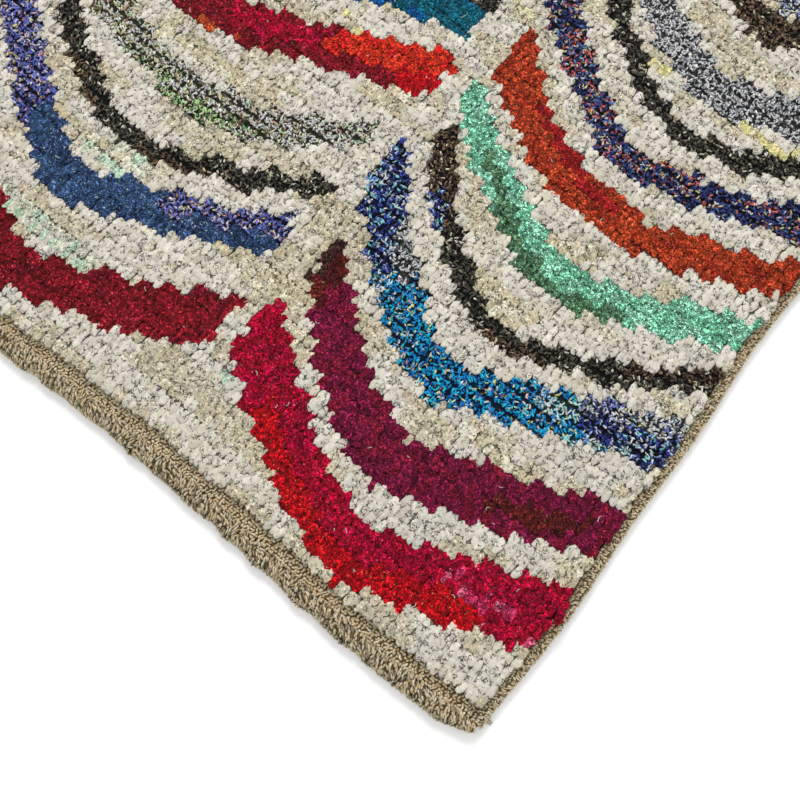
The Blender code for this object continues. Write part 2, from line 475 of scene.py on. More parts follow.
@dataclass(frozen=True)
class RugPlan:
    """The rug's outline and heights, with the waves of its edges."""

    width: float = 0.600
    length: float = 0.900
    selvedge_width: float = 0.0080
    selvedge_height: float = 0.0070
    plait_width: float = 0.0130
    plait_height: float = 0.0080
    weave_width: float = 0.0085
    weave_height: float = 0.0050
    pile_top: float = 0.0115
    gap: float = 0.0005
    side_swing: float = 0.0034
    side_swing_length: float = 0.560
    side_swing_peak: float = -0.365
    side_ripple: float = 0.0011
    side_ripple_length: float = 0.150
    side_ripple_peak: float = -0.358
    end_swing: float = 0.0022
    end_swing_length: float = 0.310
    end_swing_peak: float = 0.200
    corner_draw: float = 0.0060
    corner_reach: float = 0.0300
    pile_swell: float = 0.0005
    pile_swell_x: float = 0.146
    pile_swell_y: float = 0.118
    place_passes: int = 4

    @property
    def flat_size(self) -> tuple[float, float]:
        """Mean width and length of the pile field, from rim to rim."""
        across = self.width - 2 * (self.selvedge_width + self.gap)
        return across, self.length - 2 * (self.plait_width + self.weave_width + self.gap)

    @staticmethod
    def wave(at: Array, swing: float, length: float, peak: float) -> Array:
        """A cosine of the given swing and length, with a crest at peak."""
        return swing * np.cos(2.0 * np.pi * (at - peak) / length)

    def right_edge(self, y: Array) -> Array:
        """x of the right selvedge's outer side: half the width, a slow swing and a ripple.

        Args:
            y: Places along the side.

        Returns:
            x at each place.
        """
        swing = self.wave(y, self.side_swing, self.side_swing_length, self.side_swing_peak)
        ripple = self.wave(y, self.side_ripple, self.side_ripple_length, self.side_ripple_peak)
        return self.width / 2 + swing + ripple

    def near_edge(self, x: Array) -> Array:
        """y of the near plait's outer side, before the corners draw in."""
        return -self.length / 2 - self.wave(x, self.end_swing, self.end_swing_length, self.end_swing_peak)

    def corner_drawn(self, x: Array) -> Array:
        """How far the plait's outer side draws in: the square of the way into a corner."""
        into = (np.abs(x) - (self.width / 2 - self.corner_reach)) / self.corner_reach
        return self.corner_draw * np.maximum(0.0, into) ** 2

    def field_place(self, across: Array, along: Array) -> tuple[Array, Array]:
        """Where a share of the way across and along the pile field lies, between its four wavy edges.

        Args:
            across: Share of the way from the left rim to the right one.
            along: Share of the way from the near rim to the far one.

        Returns:
            x and y.
        """
        border = self.plait_width + self.weave_width + self.gap
        cord = self.selvedge_width + self.gap
        x = self.width * (across - 0.5)
        y = self.length * (along - 0.5)
        for _ in range(self.place_passes):
            near, far = self.near_edge(x) + border, -self.near_edge(-x) - border
            y = near + along * (far - near)
            left, right = cord - self.right_edge(-y), self.right_edge(y) - cord
            x = left + across * (right - left)
        return x, y

    def pile_height(self, x: Array, y: Array) -> Array:
        """z of the pile's top, which swells and sinks a little."""
        across = self.wave(x, self.pile_swell, self.pile_swell_x, 0.0)
        return self.pile_top + across + self.wave(y, self.pile_swell, self.pile_swell_y, 0.0)


# Meshes as whole arrays


def placed(name: str, data: bpy.types.ID) -> bpy.types.Object:
    """A new object of the scene with that data.

    Args:
        name: Name of the object.
        data: A mesh, a light's data or a camera's.

    Returns:
        The object.
    """
    item = bpy.data.objects.new(name, data)
    bpy.context.scene.collection.objects.link(item)
    return item


def fill(layer: bpy.types.bpy_prop_collection, key: str, values: Array) -> None:
    """Sets one property of all the layer's elements."""
    layer.foreach_set(key, np.asarray(values, np.float32).ravel())


@dataclass
class YarnMesh:
    """Triangles with a colour, a liveliness and a depth of painted shade at each point, and each corner's
    spot on the map.
    """

    points: Array
    triangles: Array
    colours: Array
    depths: Array
    spots: Array

    @staticmethod
    def in_cells(points: Array, pattern: Array, colours: Array, depths: Array, places: Array) -> "YarnMesh":
        """Many like shapes, each with a cell of its own on the map.

        Args:
            points: Points of each shape, as (shapes, points, 3).
            pattern: Triangles of one shape.
            colours: Colours of the points, as (shapes, points, 4).
            depths: How deep each point of one shape lies among its neighbours, from 0 to 1, which sets its
                painted shade.
            places: Places of one shape's corners in its cell, from 0 to 1.

        Returns:
            All the shapes, with their cells in a square grid.
        """
        count, per = points.shape[:2]
        number = np.arange(count)
        side = int(np.ceil(np.sqrt(count)))
        cell = together(number % side, number // side)[:, None, None, :]
        triangles = (pattern[None] + per * number[:, None, None]).reshape(-1, 3)
        spots = ((cell + places[None]) / side).reshape(-1, 3, 2)
        layers = points.reshape(-1, 3), triangles, colours.reshape(-1, 4), np.tile(depths, count), spots
        return YarnMesh(*layers)

    @staticmethod
    def joined(parts: list["YarnMesh"], shares: tuple[float, ...]) -> "YarnMesh":
        """One mesh of several, each with its share of the map's height.

        Args:
            parts: The meshes.
            shares: Their shares, one in all.

        Returns:
            The one mesh.
        """
        first_point = np.cumsum([0] + [len(part.points) for part in parts])
        low = np.cumsum([0.0, *shares])
        moved = [
            replace(part, triangles=part.triangles + start, spots=part.spots * (1.0, share) + (0.0, at))
            for part, start, share, at in zip(parts, first_point, shares, low)
        ]
        layers = [[getattr(part, layer.name) for part in moved] for layer in fields(YarnMesh)]
        return YarnMesh(*map(np.concatenate, layers))

    def turned(self) -> "YarnMesh":
        """The mesh turned half round +Z, for the far end and the left side."""
        return replace(self, points=self.points * (-1.0, -1.0, 1.0))

    def piece(self, name: str, material: bpy.types.Material) -> bpy.types.Object:
        """Puts the arrays into a mesh.

        Args:
            name: The piece's name.
            material: Its finish.

        Returns:
            The piece, at the origin.
        """
        mesh = bpy.data.meshes.new(name)
        count = len(self.triangles)
        mesh.vertices.add(len(self.points))
        fill(mesh.vertices, "co", self.points)
        mesh.loops.add(count * 3)
        mesh.loops.foreach_set("vertex_index", self.triangles.astype(np.int32).ravel())
        mesh.polygons.add(count)
        mesh.polygons.foreach_set("loop_start", np.arange(0, count * 3, 3, dtype=np.int32))
        mesh.polygons.foreach_set("use_smooth", np.ones(count, bool))
        mesh.uv_layers.new(name=BAKE_MAP)
        fill(mesh.uv_layers[BAKE_MAP].data, "uv", self.spots)
        mesh.update(calc_edges=True)
        layer = mesh.color_attributes.new(name=COLOUR_LAYER, type="FLOAT_COLOR", domain="POINT")
        fill(layer.data, "color", self.colours)
        layer = mesh.attributes.new(name=PAINTED_SHADE_LAYER, type="FLOAT", domain="POINT")
        fill(layer.data, "value", self.depths)
        mesh.materials.append(material)
        return placed(name, mesh)


def unit(vectors: Array) -> Array:
    """The vectors made one long."""
    return vectors / np.maximum(np.linalg.norm(vectors, axis=-1, keepdims=True), 1e-12)


def strands(paths: Array, radii: Array, colours: Array, shadow: float, over: Array | None = None) -> YarnMesh:
    """Yarns that lie on something: a rounded ridge along each path, brought to a point at both ends.

    Args:
        paths: Points of each path, as (strands, points, 3). The first and last are the tips.
        radii: Radius at each point but the tips, as (strands, points - 2) or fewer axes.
        colours: Colour at each point of each path, as (strands, points, 4) or (strands, 1, 4).
        shadow: Depth of the ridge's two feet, which sets the painted shade there.
        over: The way that the ridge faces at each point of each path, or none for upwards.

    Returns:
        The strands, each with a cell of its own.
    """
    count, steps = paths.shape[:2]
    rings = steps - 2
    ahead = unit(paths[:, 2:] - paths[:, :-2])
    facing = np.broadcast_to(UPWARDS, (count, rings, 3)) if over is None else over[:, 1:-1]
    beside = unit(np.cross(ahead, facing))
    top = np.cross(beside, ahead)
    turn = np.radians((-25.0, 90.0, 205.0))  # one foot, the crest and the other foot
    reach = np.broadcast_to(radii, (count, rings))[:, :, None, None]
    swept = np.cos(turn)[:, None] * beside[:, :, None] + np.sin(turn)[:, None] * top[:, :, None]
    ring_points = paths[:, 1:-1, None] + reach * swept
    points = np.concatenate([paths[:, :1], ring_points.reshape(count, -1, 3), paths[:, -1:]], axis=1)
    shades = np.broadcast_to(colours, (count, steps, 4))
    ring_shades = np.repeat(shades[:, 1:-1], 3, axis=1)
    point_colours = np.concatenate([shades[:, :1], ring_shades, shades[:, -1:]], axis=1)
    depths = np.concatenate([[shadow], np.tile([shadow, 0.0, shadow], rings), [shadow]])
    last = 1 + 3 * rings
    corners = [(0, 1, 2), (0, 2, 3), (last, last - 2, last - 3), (last, last - 1, last - 2)]
    for a in range(1, last - 3, 3):
        for side in (a, a + 1):
            corners += [(side, side + 3, side + 4), (side, side + 4, side + 1)]
    along = np.concatenate([[0.0], np.repeat(np.arange(1, rings + 1), 3), [rings + 1]]) / (rings + 1)
    around = np.concatenate([[0.5], np.tile([0.0, 0.5, 1.0], rings), [0.5]])
    pattern = np.array(corners)
    places = inset(together(along, around)[pattern], 0.04)
    return YarnMesh.in_cells(points, pattern, point_colours, depths, places)


def loops(
    centres: Array, ahead: Array, over: Array, sizes: Array, dive: float, colours: Array, shadow: float
) -> YarnMesh:
    """Short arched yarns that lie on something, their ends dived under their neighbours.

    Args:
        centres: Top middle of each, as (loops, 3).
        ahead: The way that each runs, as (loops, 3).
        over: The way that each faces, as (loops, 3).
        sizes: Length and radius of each, as (loops, 2).
        dive: How far the ends lie below the middle.
        colours: Colour of each, as (loops, 4).
        shadow: Depth of the loops' feet, which sets the painted shade there.

    Returns:
        The loops, each with a cell of its own.
    """
    way = np.array([-1.0, -0.55, 0.0, 0.55, 1.0])
    along = ahead[:, None] * (0.5 * sizes[:, :1] * way)[..., None]
    paths = centres[:, None] + along - over[:, None] * (dive * way**2)[:, None]
    facing = np.broadcast_to(over[:, None], paths.shape)
    return strands(paths, sizes[:, 1:], colours[:, None], shadow, facing)


class Ring(NamedTuple):
    """One ring of a cushion: its share of the half size, its drop below the top, and its depth in painted
    shade.
    """

    share: float
    drop: float
    depth: float


def cushions(
    centres: Array,
    half: Array,
    turn: Array,
    tilt: Array,
    colours: Array,
    rings: tuple[Ring, ...],
    sides: int,
    raggedness: float,
    rng: np.random.Generator,
) -> YarnMesh:
    """Soft knobs: a middle point, then rings of a rounded rectangle that grow and drop.

    Args:
        centres: Top middle of each, as (knobs, 3).
        half: Half width and half length, as (knobs, 2).
        turn: Turn of each about +Z.
        tilt: Rise of each top towards the near end, as height over length.
        colours: Colour of each, as (knobs, 4).
        rings: The rings, from the inmost one.
        sides: Points round each ring.
        raggedness: How much the rings' radius varies, as a share.
        rng: Random numbers.

    Returns:
        The knobs, each with a cell of its own.
    """
    count = len(centres)
    angle = FULL_TURN * (np.arange(sides) + 0.5) / sides
    power = 3.0  # of the rounded rectangle; 2 would be an ellipse
    radius = (np.abs(np.cos(angle)) ** power + np.abs(np.sin(angle)) ** power) ** (-1.0 / power)
    radius = radius * (1.0 + raggedness * stray(rng, (count, sides)))
    flat_x = radius * np.cos(angle) * half[:, :1]
    flat_y = radius * np.sin(angle) * half[:, 1:]
    cos, sin = np.cos(turn)[:, None], np.sin(turn)[:, None]
    turned_x, turned_y = flat_x * cos - flat_y * sin, flat_x * sin + flat_y * cos
    layers = [centres[:, None]]
    for share, drop, _ in rings:
        z = centres[:, 2:] - drop - tilt[:, None] * share * turned_y
        layers.append(together(centres[:, :1] + share * turned_x, centres[:, 1:2] + share * turned_y, z))
    points = np.concatenate(layers, axis=1)
    depths = np.concatenate([[0.0], np.repeat([ring.depth for ring in rings], sides)])
    k = np.arange(sides)
    following = (k + 1) % sides
    corners = [together(0, 1 + k, 1 + following)]
    for a in range(1, 1 + (len(rings) - 1) * sides, sides):
        b = a + sides
        corners += [together(a + k, b + k, b + following), together(a + k, b + following, a + following)]
    reach = np.concatenate([[0.0], np.repeat(0.47 * np.arange(1, len(rings) + 1) / len(rings), sides)])
    bearing = np.concatenate([[0.0], np.tile(angle, len(rings))])
    spot = 0.5 + together(reach * np.cos(bearing), reach * np.sin(bearing))
    pattern = np.concatenate(corners)
    shades = np.repeat(colours[:, None], points.shape[1], axis=1)
    return YarnMesh.in_cells(points, pattern, shades, depths, spot[pattern])


def bar(rings: Array, colour: Array) -> YarnMesh:
    """A closed bar through rings of points, with a fan over each end.

    Args:
        rings: Points, as (rings, sides, 3), running the same way round each.
        colour: One colour.

    Returns:
        The bar, in one cell.
    """
    count, sides = rings.shape[:2]
    points = np.concatenate([rings.reshape(-1, 3), rings[:1].mean(axis=1), rings[-1:].mean(axis=1)])
    i, j = np.meshgrid(np.arange(count - 1), np.arange(sides), indexing="ij")
    a, b = i * sides + j, i * sides + (j + 1) % sides
    c, d = a + sides, b + sides
    walls = np.stack([together(a, b, d), together(a, d, c)], axis=2).reshape(-1, 3)
    k = np.arange(sides)
    following = (k + 1) % sides
    last = (count - 1) * sides
    start = together(count * sides, following, k)
    end = together(count * sides + 1, last + k, last + following)
    wall_along = inset(together(i, i, i + 1, i, i + 1, i + 1).reshape(-1, 3) / (count - 1), 0.05)
    wall_around = inset(together(j, j + 1, j + 1, j, j + 1, j).reshape(-1, 3) / sides, 0.05)
    cap_around = inset(together(k + 0.5, k + 1.0, k + 0.0) / sides, 0.05)
    start_places = together((0.01, 0.05, 0.05), cap_around)
    end_places = together((0.99, 0.95, 0.95), cap_around[:, [0, 2, 1]])
    places = np.concatenate([together(wall_along, wall_around), start_places, end_places])
    triangles = np.concatenate([walls, start, end])
    return YarnMesh(points, triangles, np.tile(colour, (len(points), 1)), np.zeros(len(points)), places)


# Shader nodes


class Value:
    """A number that a node gives, for shader maths written as Python expressions."""

    def __init__(self, shader: "Shader", socket: bpy.types.NodeSocket) -> None:
        """Wraps one output socket of the shader's nodes."""
        self.shader = shader
        self.socket = socket

    def _maths(self, operation: str, first: object, second: object) -> "Value":
        """Adds a Math node on two values or numbers."""
        node = self.shader.node("ShaderNodeMath", {"operation": operation}, {0: first, 1: second})
        return Value(self.shader, node.outputs[0])

    def __add__(self, other: object) -> "Value":
        """The sum."""
        return self._maths("ADD", self, other)

    __radd__ = __add__

    def __sub__(self, other: object) -> "Value":
        """The difference."""
        return self._maths("SUBTRACT", self, other)

    def __rsub__(self, other: object) -> "Value":
        """The difference, with this value taken away."""
        return self._maths("SUBTRACT", other, self)

    def __mul__(self, other: object) -> "Value":
        """The product."""
        return self._maths("MULTIPLY", self, other)

    __rmul__ = __mul__

    def __pow__(self, other: object) -> "Value":
        """The power."""
        return self._maths("POWER", self, other)

    def wave(self) -> "Value":
        """The sine of the value."""
        return self._maths("SINE", self, 0.0)

    def size(self) -> "Value":
        """The value without its sign."""
        return self._maths("ABSOLUTE", self, 0.0)

    def least(self, other: object) -> "Value":
        """The lower of two values."""
        return self._maths("MINIMUM", self, other)

    def most(self, other: object) -> "Value":
        """The higher of two values."""
        return self._maths("MAXIMUM", self, other)


class Shader:
    """A material's nodes round one Principled shader."""

    def __init__(self, name: str) -> None:
        """Starts a material of that name.

        Args:
            name: Name of the material.
        """
        self.material = bpy.data.materials.new(name)
        self.material.use_nodes = True
        self.tree = self.material.node_tree
        self.surface = self.tree.nodes["Principled BSDF"]

    def put(self, socket: bpy.types.NodeSocket, value: object) -> None:
        """Links a value's socket, or sets a number or colour.

        Args:
            socket: An input.
            value: What it is fed with.
        """
        if isinstance(value, Value):
            self.tree.links.new(value.socket, socket)
        elif isinstance(value, bpy.types.NodeSocket):
            self.tree.links.new(value, socket)
        else:
            socket.default_value = value

    def node(
        self, kind: str, settings: dict[str, object], sockets: dict[int | str, object]
    ) -> bpy.types.Node:
        """Adds a node.

        Args:
            kind: The node's type.
            settings: Its settings, which are set first.
            sockets: Values or links of its inputs, by name or place.

        Returns:
            The node.
        """
        made = self.tree.nodes.new(kind)
        for name, value in settings.items():
            setattr(made, name, value)
        for name, value in sockets.items():
            self.put(made.inputs[name], value)
        return made

    def place(self) -> bpy.types.NodeSocket:
        """Object coordinates."""
        return self.node("ShaderNodeTexCoord", {}, {}).outputs["Object"]

    def depth(self) -> Value:
        """How deep each spot lies among its neighbours, from 0 to 1, which sets its painted shade."""
        made = self.node("ShaderNodeAttribute", {"attribute_name": PAINTED_SHADE_LAYER}, {})
        return Value(self, made.outputs["Fac"])

    def noise(self, at: bpy.types.NodeSocket, scale: float, detail: float) -> Value:
        """Noise from 0 to 1, with that many lumps in a metre."""
        made = self.node("ShaderNodeTexNoise", {}, {"Vector": at, "Scale": scale, "Detail": detail})
        return Value(self, made.outputs[0])

    def stirred(self, at: bpy.types.NodeSocket, scale: float, by: float) -> bpy.types.NodeSocket:
        """Coordinates moved about by noise, up to half of a distance.

        Args:
            at: The coordinates.
            scale: Lumps of the noise in a metre.
            by: The distance.

        Returns:
            The new coordinates.
        """
        sockets = {"Vector": at, "Scale": scale, "Detail": 1.0}
        drift = self.node("ShaderNodeTexNoise", {}, sockets).outputs["Color"]
        settings = {"operation": "MULTIPLY_ADD"}
        return self.node("ShaderNodeVectorMath", settings, {0: drift, 1: (by, by, by), 2: at}).outputs[0]

    def creases(self, at: bpy.types.NodeSocket, scale: float, width: float) -> Value:
        """0 in the creases between lumps and 1 elsewhere.

        Args:
            at: The place, as a vector.
            scale: How many lumps there are in a metre.
            width: Width of a crease, in metres.

        Returns:
            The value.
        """
        settings = {"feature": "DISTANCE_TO_EDGE"}
        made = self.node("ShaderNodeTexVoronoi", settings, {"Vector": at, "Scale": scale})
        return (Value(self, made.outputs["Distance"]) * (1.0 / (width * scale))).least(1.0)

    def cells(self, at: bpy.types.NodeSocket, scale: float) -> Value:
        """A value from 0 to 1 for each lump, with that many lumps in a metre."""
        made = self.node("ShaderNodeTexVoronoi", {}, {"Vector": at, "Scale": scale})
        return Value(self, self.node("ShaderNodeSeparateColor", {}, {0: made.outputs["Color"]}).outputs[0])

    def times(self, colour: bpy.types.NodeSocket, share: Value) -> bpy.types.NodeSocket:
        """The colour made lighter or darker by a share.

        Args:
            colour: The colour.
            share: What each of its channels is multiplied by.

        Returns:
            The new colour.
        """
        grey = self.node("ShaderNodeCombineXYZ", {}, {0: share, 1: share, 2: share}).outputs[0]
        settings = {"data_type": "RGBA", "blend_type": "MULTIPLY"}
        return self.node("ShaderNodeMix", settings, {0: 1.0, 6: colour, 7: grey}).outputs[2]

    def bump(self, height: Value, distance: float, strength: float) -> bpy.types.NodeSocket:
        """A normal bent by a height from 0 to 1, which stands for that distance."""
        sockets = {"Height": height, "Distance": distance, "Strength": strength}
        return self.node("ShaderNodeBump", {}, sockets).outputs["Normal"]

    def finish(self, colour: object, roughness: object, normal: object = None) -> bpy.types.Material:
        """Feeds the Principled shader, which has only a faint shine, and gives the material.

        Args:
            colour: Base colour.
            roughness: Roughness.
            normal: The bent normal, or none.

        Returns:
            The material.
        """
        self.put(self.surface.inputs["Base Color"], colour)
        self.put(self.surface.inputs["Roughness"], roughness)
        if normal is not None:
            self.put(self.surface.inputs["Normal"], normal)
        self.surface.inputs["Specular IOR Level"].default_value = 0.2
        return self.material


@dataclass(frozen=True)
class YarnFinish:
    """Matt spun yarn: the colour of each end, broken up by curls, by painted shade in the gaps between them
    and by thin creases of painted shade.
    """

    name: str
    fibre_scale: float = 2200.0
    fibre_bump: float = 0.00012
    lump_scale: float = 520.0
    lump_bump: float = 0.0008
    lump_contrast: float = 1.0
    curl_scale: float = 760.0
    curl_bump: float = 0.00022
    curl_contrast: float = 1.9
    gap_shade: float = 0.90
    gap_share: float = 0.14
    crease_scale: float = 370.0
    crease_width: float = 0.00027
    crease_bump: float = 0.00022
    crease_shade: float = 0.88
    outline: float = 6.0
    roughness: float = 0.98

    def material(self) -> bpy.types.Material:
        """The yarn's colour times its lumps and curls, which are partly random tone and partly painted
        highlight, and times the painted shade of its gaps, creases and feet; a lively yarn has more of the
        curls.

        Returns:
            The material.
        """
        shader = Shader(self.name)
        at = shader.place()
        yarn = shader.node("ShaderNodeVertexColor", {"layer_name": COLOUR_LAYER}, {})
        own, lively = yarn.outputs["Color"], Value(shader, yarn.outputs["Alpha"])
        fibres = shader.noise(at, self.fibre_scale, 2.0)
        lumps = shader.noise(at, self.lump_scale, 2.0)
        curled = shader.stirred(at, 1.3 * self.curl_scale, 1.1 / self.curl_scale)
        curls = shader.cells(curled, self.curl_scale)
        gaps = shader.creases(curled, self.curl_scale, self.gap_share / self.curl_scale)
        stirred = shader.stirred(at, 1.6 * self.crease_scale, 1.5 / self.crease_scale)
        crease = (shader.creases(stirred, self.crease_scale, self.crease_width) * 1.5 - 0.5).most(0.0)
        broken = ((shader.noise(at, 0.8 * self.crease_scale, 1.0) - 0.49) * 12.0).most(0.0).least(1.0)
        crease = 1.0 - (1.0 - crease) * broken
        # lighter on raised curls and lumps: partly random tone, partly painted highlight
        bright = (curls * curls * curls - 0.16) * self.curl_contrast
        light = 1.0 + lively * (self.lump_contrast * (lumps - 0.5) + bright)
        # painted shade: darker in the thin creases and in the gaps between curls
        share = light.most(0.15) * (1.0 - self.crease_shade * (1.0 - crease))
        share = share * (1.0 - self.gap_shade * lively * (1.0 - gaps)) * (0.9 + 0.2 * fibres)
        # painted shade: darker towards the feet of ridges and the rims of cushions, by their depth
        share = share * (1.0 - shader.depth()) ** self.outline
        height = fibres * self.fibre_bump + lumps * self.lump_bump + crease * self.crease_bump
        height = height + lively * (gaps + curls) * self.curl_bump
        return shader.finish(
            shader.times(own, share),
            self.roughness - 0.10 * fibres,
            shader.bump(height, 1.0, 1.0),
        )


@dataclass(frozen=True)
class BackFinish:
    """The back of the woven ground: the knots' collars as small ribs in the pattern's colours."""

    name: str
    rib_bump: float
    fibre_scale: float

    def material(self) -> bpy.types.Material:
        """Bump and colour follow two sines of the knot grid: one rib a row and two collars a knot, the colour
        darker in their grooves as painted shade.

        Returns:
            The material.
        """
        shader = Shader(self.name)
        own = shader.node("ShaderNodeVertexColor", {"layer_name": COLOUR_LAYER}, {}).outputs["Color"]
        grid = shader.node("ShaderNodeUVMap", {"uv_map": KNOT_MAP}, {}).outputs["UV"]
        parts = shader.node("ShaderNodeSeparateXYZ", {}, {0: grid})
        across, along = Value(shader, parts.outputs[0]), Value(shader, parts.outputs[1])
        collars = (across * FULL_TURN).wave().size()
        ribs = (along * np.pi).wave().size()
        height = 0.5 * collars + 0.5 * ribs
        fibres = shader.noise(shader.place(), self.fibre_scale, 3.0)
        return shader.finish(
            # painted shade: darker in the grooves between ribs and collars
            shader.times(own, 0.45 + 0.5 * height + 0.3 * fibres),
            0.95 - 0.1 * fibres,
            shader.bump(height + 0.3 * fibres, self.rib_bump, 1.0),
        )


PILE_FINISH = YarnFinish("pile_wool")
TAN_FINISH = YarnFinish(
    "tan_spun_yarn",
    fibre_scale=2600.0,
    fibre_bump=0.00020,
    lump_scale=800.0,
    lump_bump=0.00030,
    lump_contrast=1.2,
    curl_scale=1500.0,
    curl_bump=0.00004,
    curl_contrast=0.4,
    gap_shade=0.20,
    gap_share=0.20,
    crease_scale=900.0,
    crease_width=0.00008,
    crease_bump=0.00005,
    crease_shade=0.25,
    roughness=0.95,
)
LINT_FINISH = replace(TAN_FINISH, name="lint_thread", fibre_bump=0.00004, lump_bump=0.00004, crease_shade=0.0)
BACK_FINISH = BackFinish("rug_back", 0.0010, 2200.0)


# Sub-assemblies


def own_piece(item: bpy.types.Object, slot: str, *replaced: str) -> bpy.types.Object:
    """Rides a piece on the rug's body and hides the solids that it stands for.

    Args:
        item: The piece.
        slot: Not used.
        replaced: Names of the solids.

    Returns:
        The piece.
    """
    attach(item, BODY)
    if replaced:
        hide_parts(*replaced)
    LOG.info("%s: %d triangles", item.name, len(item.data.polygons))
    return item


@dataclass
class KnotGrid:
    """The knots in their rows, each with its place and yarn."""

    plan: RugPlan
    columns: int = 131
    rows: int = 116
    stray_across: float = 0.18
    stray_along: float = 0.08
    column_wander: float = 0.0015
    row_wander: float = 0.16
    rim_knots: float = 5.0
    spill_reach: float = 0.0038
    deep_spill: float = 0.0060
    deep_row: float = 9.2
    deep_reach: float = 1.2
    column: Array = field(init=False)
    row: Array = field(init=False)
    x: Array = field(init=False)
    y: Array = field(init=False)
    yarn: Array = field(init=False)
    streak: Array = field(init=False)

    def __post_init__(self) -> None:
        """Places the knots: rows wander a little, and each knot strays from its place in its row."""
        rng = np.random.default_rng(Seed.KNOTS)
        row, column = np.divmod(np.arange(self.columns * self.rows), self.columns)
        wander = Unevenness(Seed.ROWS)
        aside = rng.uniform(-self.stray_across, self.stray_across, len(column))
        across = (column + 0.5 + aside) / self.columns
        across += self.column_wander * wander.at(row * 0.7, row * 0.0 + 9.0)
        along = (row + 0.5 + self.row_wander * wander.at(column / 9.0, row * 3.7)) / self.rows
        along += rng.uniform(-self.stray_along, self.stray_along, len(row)) / self.rows
        deep = self.deep_spill * np.exp(-(((row - self.deep_row) / self.deep_reach) ** 2))
        from_right = (self.columns - 1 - column) / self.rim_knots
        across = across + (self.spill(row, 0.0) + deep) * np.maximum(0.0, 1.0 - from_right)
        across = across - self.spill(row, 40.0) * np.maximum(0.0, 1.0 - column / self.rim_knots)
        self.column, self.row = column, row
        self.x, self.y = self.plan.field_place(across, along)
        chart = ScallopChart(self.plan.width / MM, self.plan.length / MM)
        self.yarn = chart.yarns(self.x, self.y, column, row)
        self.streak = Unevenness(Seed.STREAKS).at(column / 7.0, row * 7.77)

    def spill(self, row: Array, start: float) -> Array:
        """How far, as a share of the width, the pile of each row spreads over the side cord."""
        spread = 0.35 + Unevenness(Seed.SPILL).at(row * 0.45 + start, row * 0.0)
        return self.spill_reach * np.maximum(0.0, spread)

    @property
    def at_rim(self) -> Array:
        """Whether each knot is in the field's outermost row or column."""
        in_end_row = (self.row == 0) | (self.row == self.rows - 1)
        return in_end_row | (self.column == 0) | (self.column == self.columns - 1)

    @property
    def cell(self) -> tuple[float, float]:
        """Width and length of a knot's share of the field."""
        across, along = self.plan.flat_size
        return across / self.columns, along / self.rows

    def end_colours(self, knots: Array, rng: np.random.Generator, with_flecks: bool = True) -> Array:
        """A colour for each yarn end: its yarn's main or second colour or a fleck, lighter or darker.

        Args:
            knots: The knot that each end belongs to.
            rng: Random numbers.
            with_flecks: Whether some ends are flecks.

        Returns:
            Light values and liveliness, as (ends, 4).
        """
        main = linear([yarn.main for yarn in YARNS])
        second = linear([yarn.second for yarn in YARNS])
        second_share = np.array([yarn.second_share for yarn in YARNS])
        fleck_share = np.array([yarn.fleck_share for yarn in YARNS])
        most = max(len(yarn.flecks) for yarn in YARNS)
        choices = [yarn.flecks or (yarn.main,) for yarn in YARNS]
        flecks = linear([[some[k % len(some)] for k in range(most)] for some in choices])
        yarn = self.yarn[knots]
        streak = self.streak[knots]
        draw = rng.uniform(size=len(knots))
        is_second = draw < np.clip(second_share[yarn] + 0.45 * streak, 0.05, 0.95)
        colours = np.where(is_second[:, None], second[yarn], main[yarn])
        is_fleck = rng.uniform(size=len(knots)) < with_flecks * fleck_share[yarn] * (1.0 + 0.8 * streak)
        chosen = flecks[yarn, rng.integers(0, most, len(knots))]
        colours = np.where(is_fleck[:, None], chosen, colours)
        colours = colours * (1.0 + 0.08 * streak + 0.10 * stray(rng, len(knots)))[:, None]
        lively = np.array([yarn.liveliness for yarn in YARNS])[yarn]
        return np.concatenate([colours, lively[:, None]], axis=1)


class CushionStyle(NamedTuple):
    """One kind of cushion: points round it, how far it lies under the pile's top, and how unevenly."""

    sides: int
    sink: float
    jitter: float


class EndStyle(NamedTuple):
    """One kind of cut end, with the places of its points along it, from -1 to 1.

    There are so many to a knot, they lie this far under the pile's top, and the highest are lighter than the
    lowest by the contrast, as painted light and shade.
    """

    each: int
    length: float
    radius: float
    steps: tuple[float, ...]
    sink: float
    contrast: float


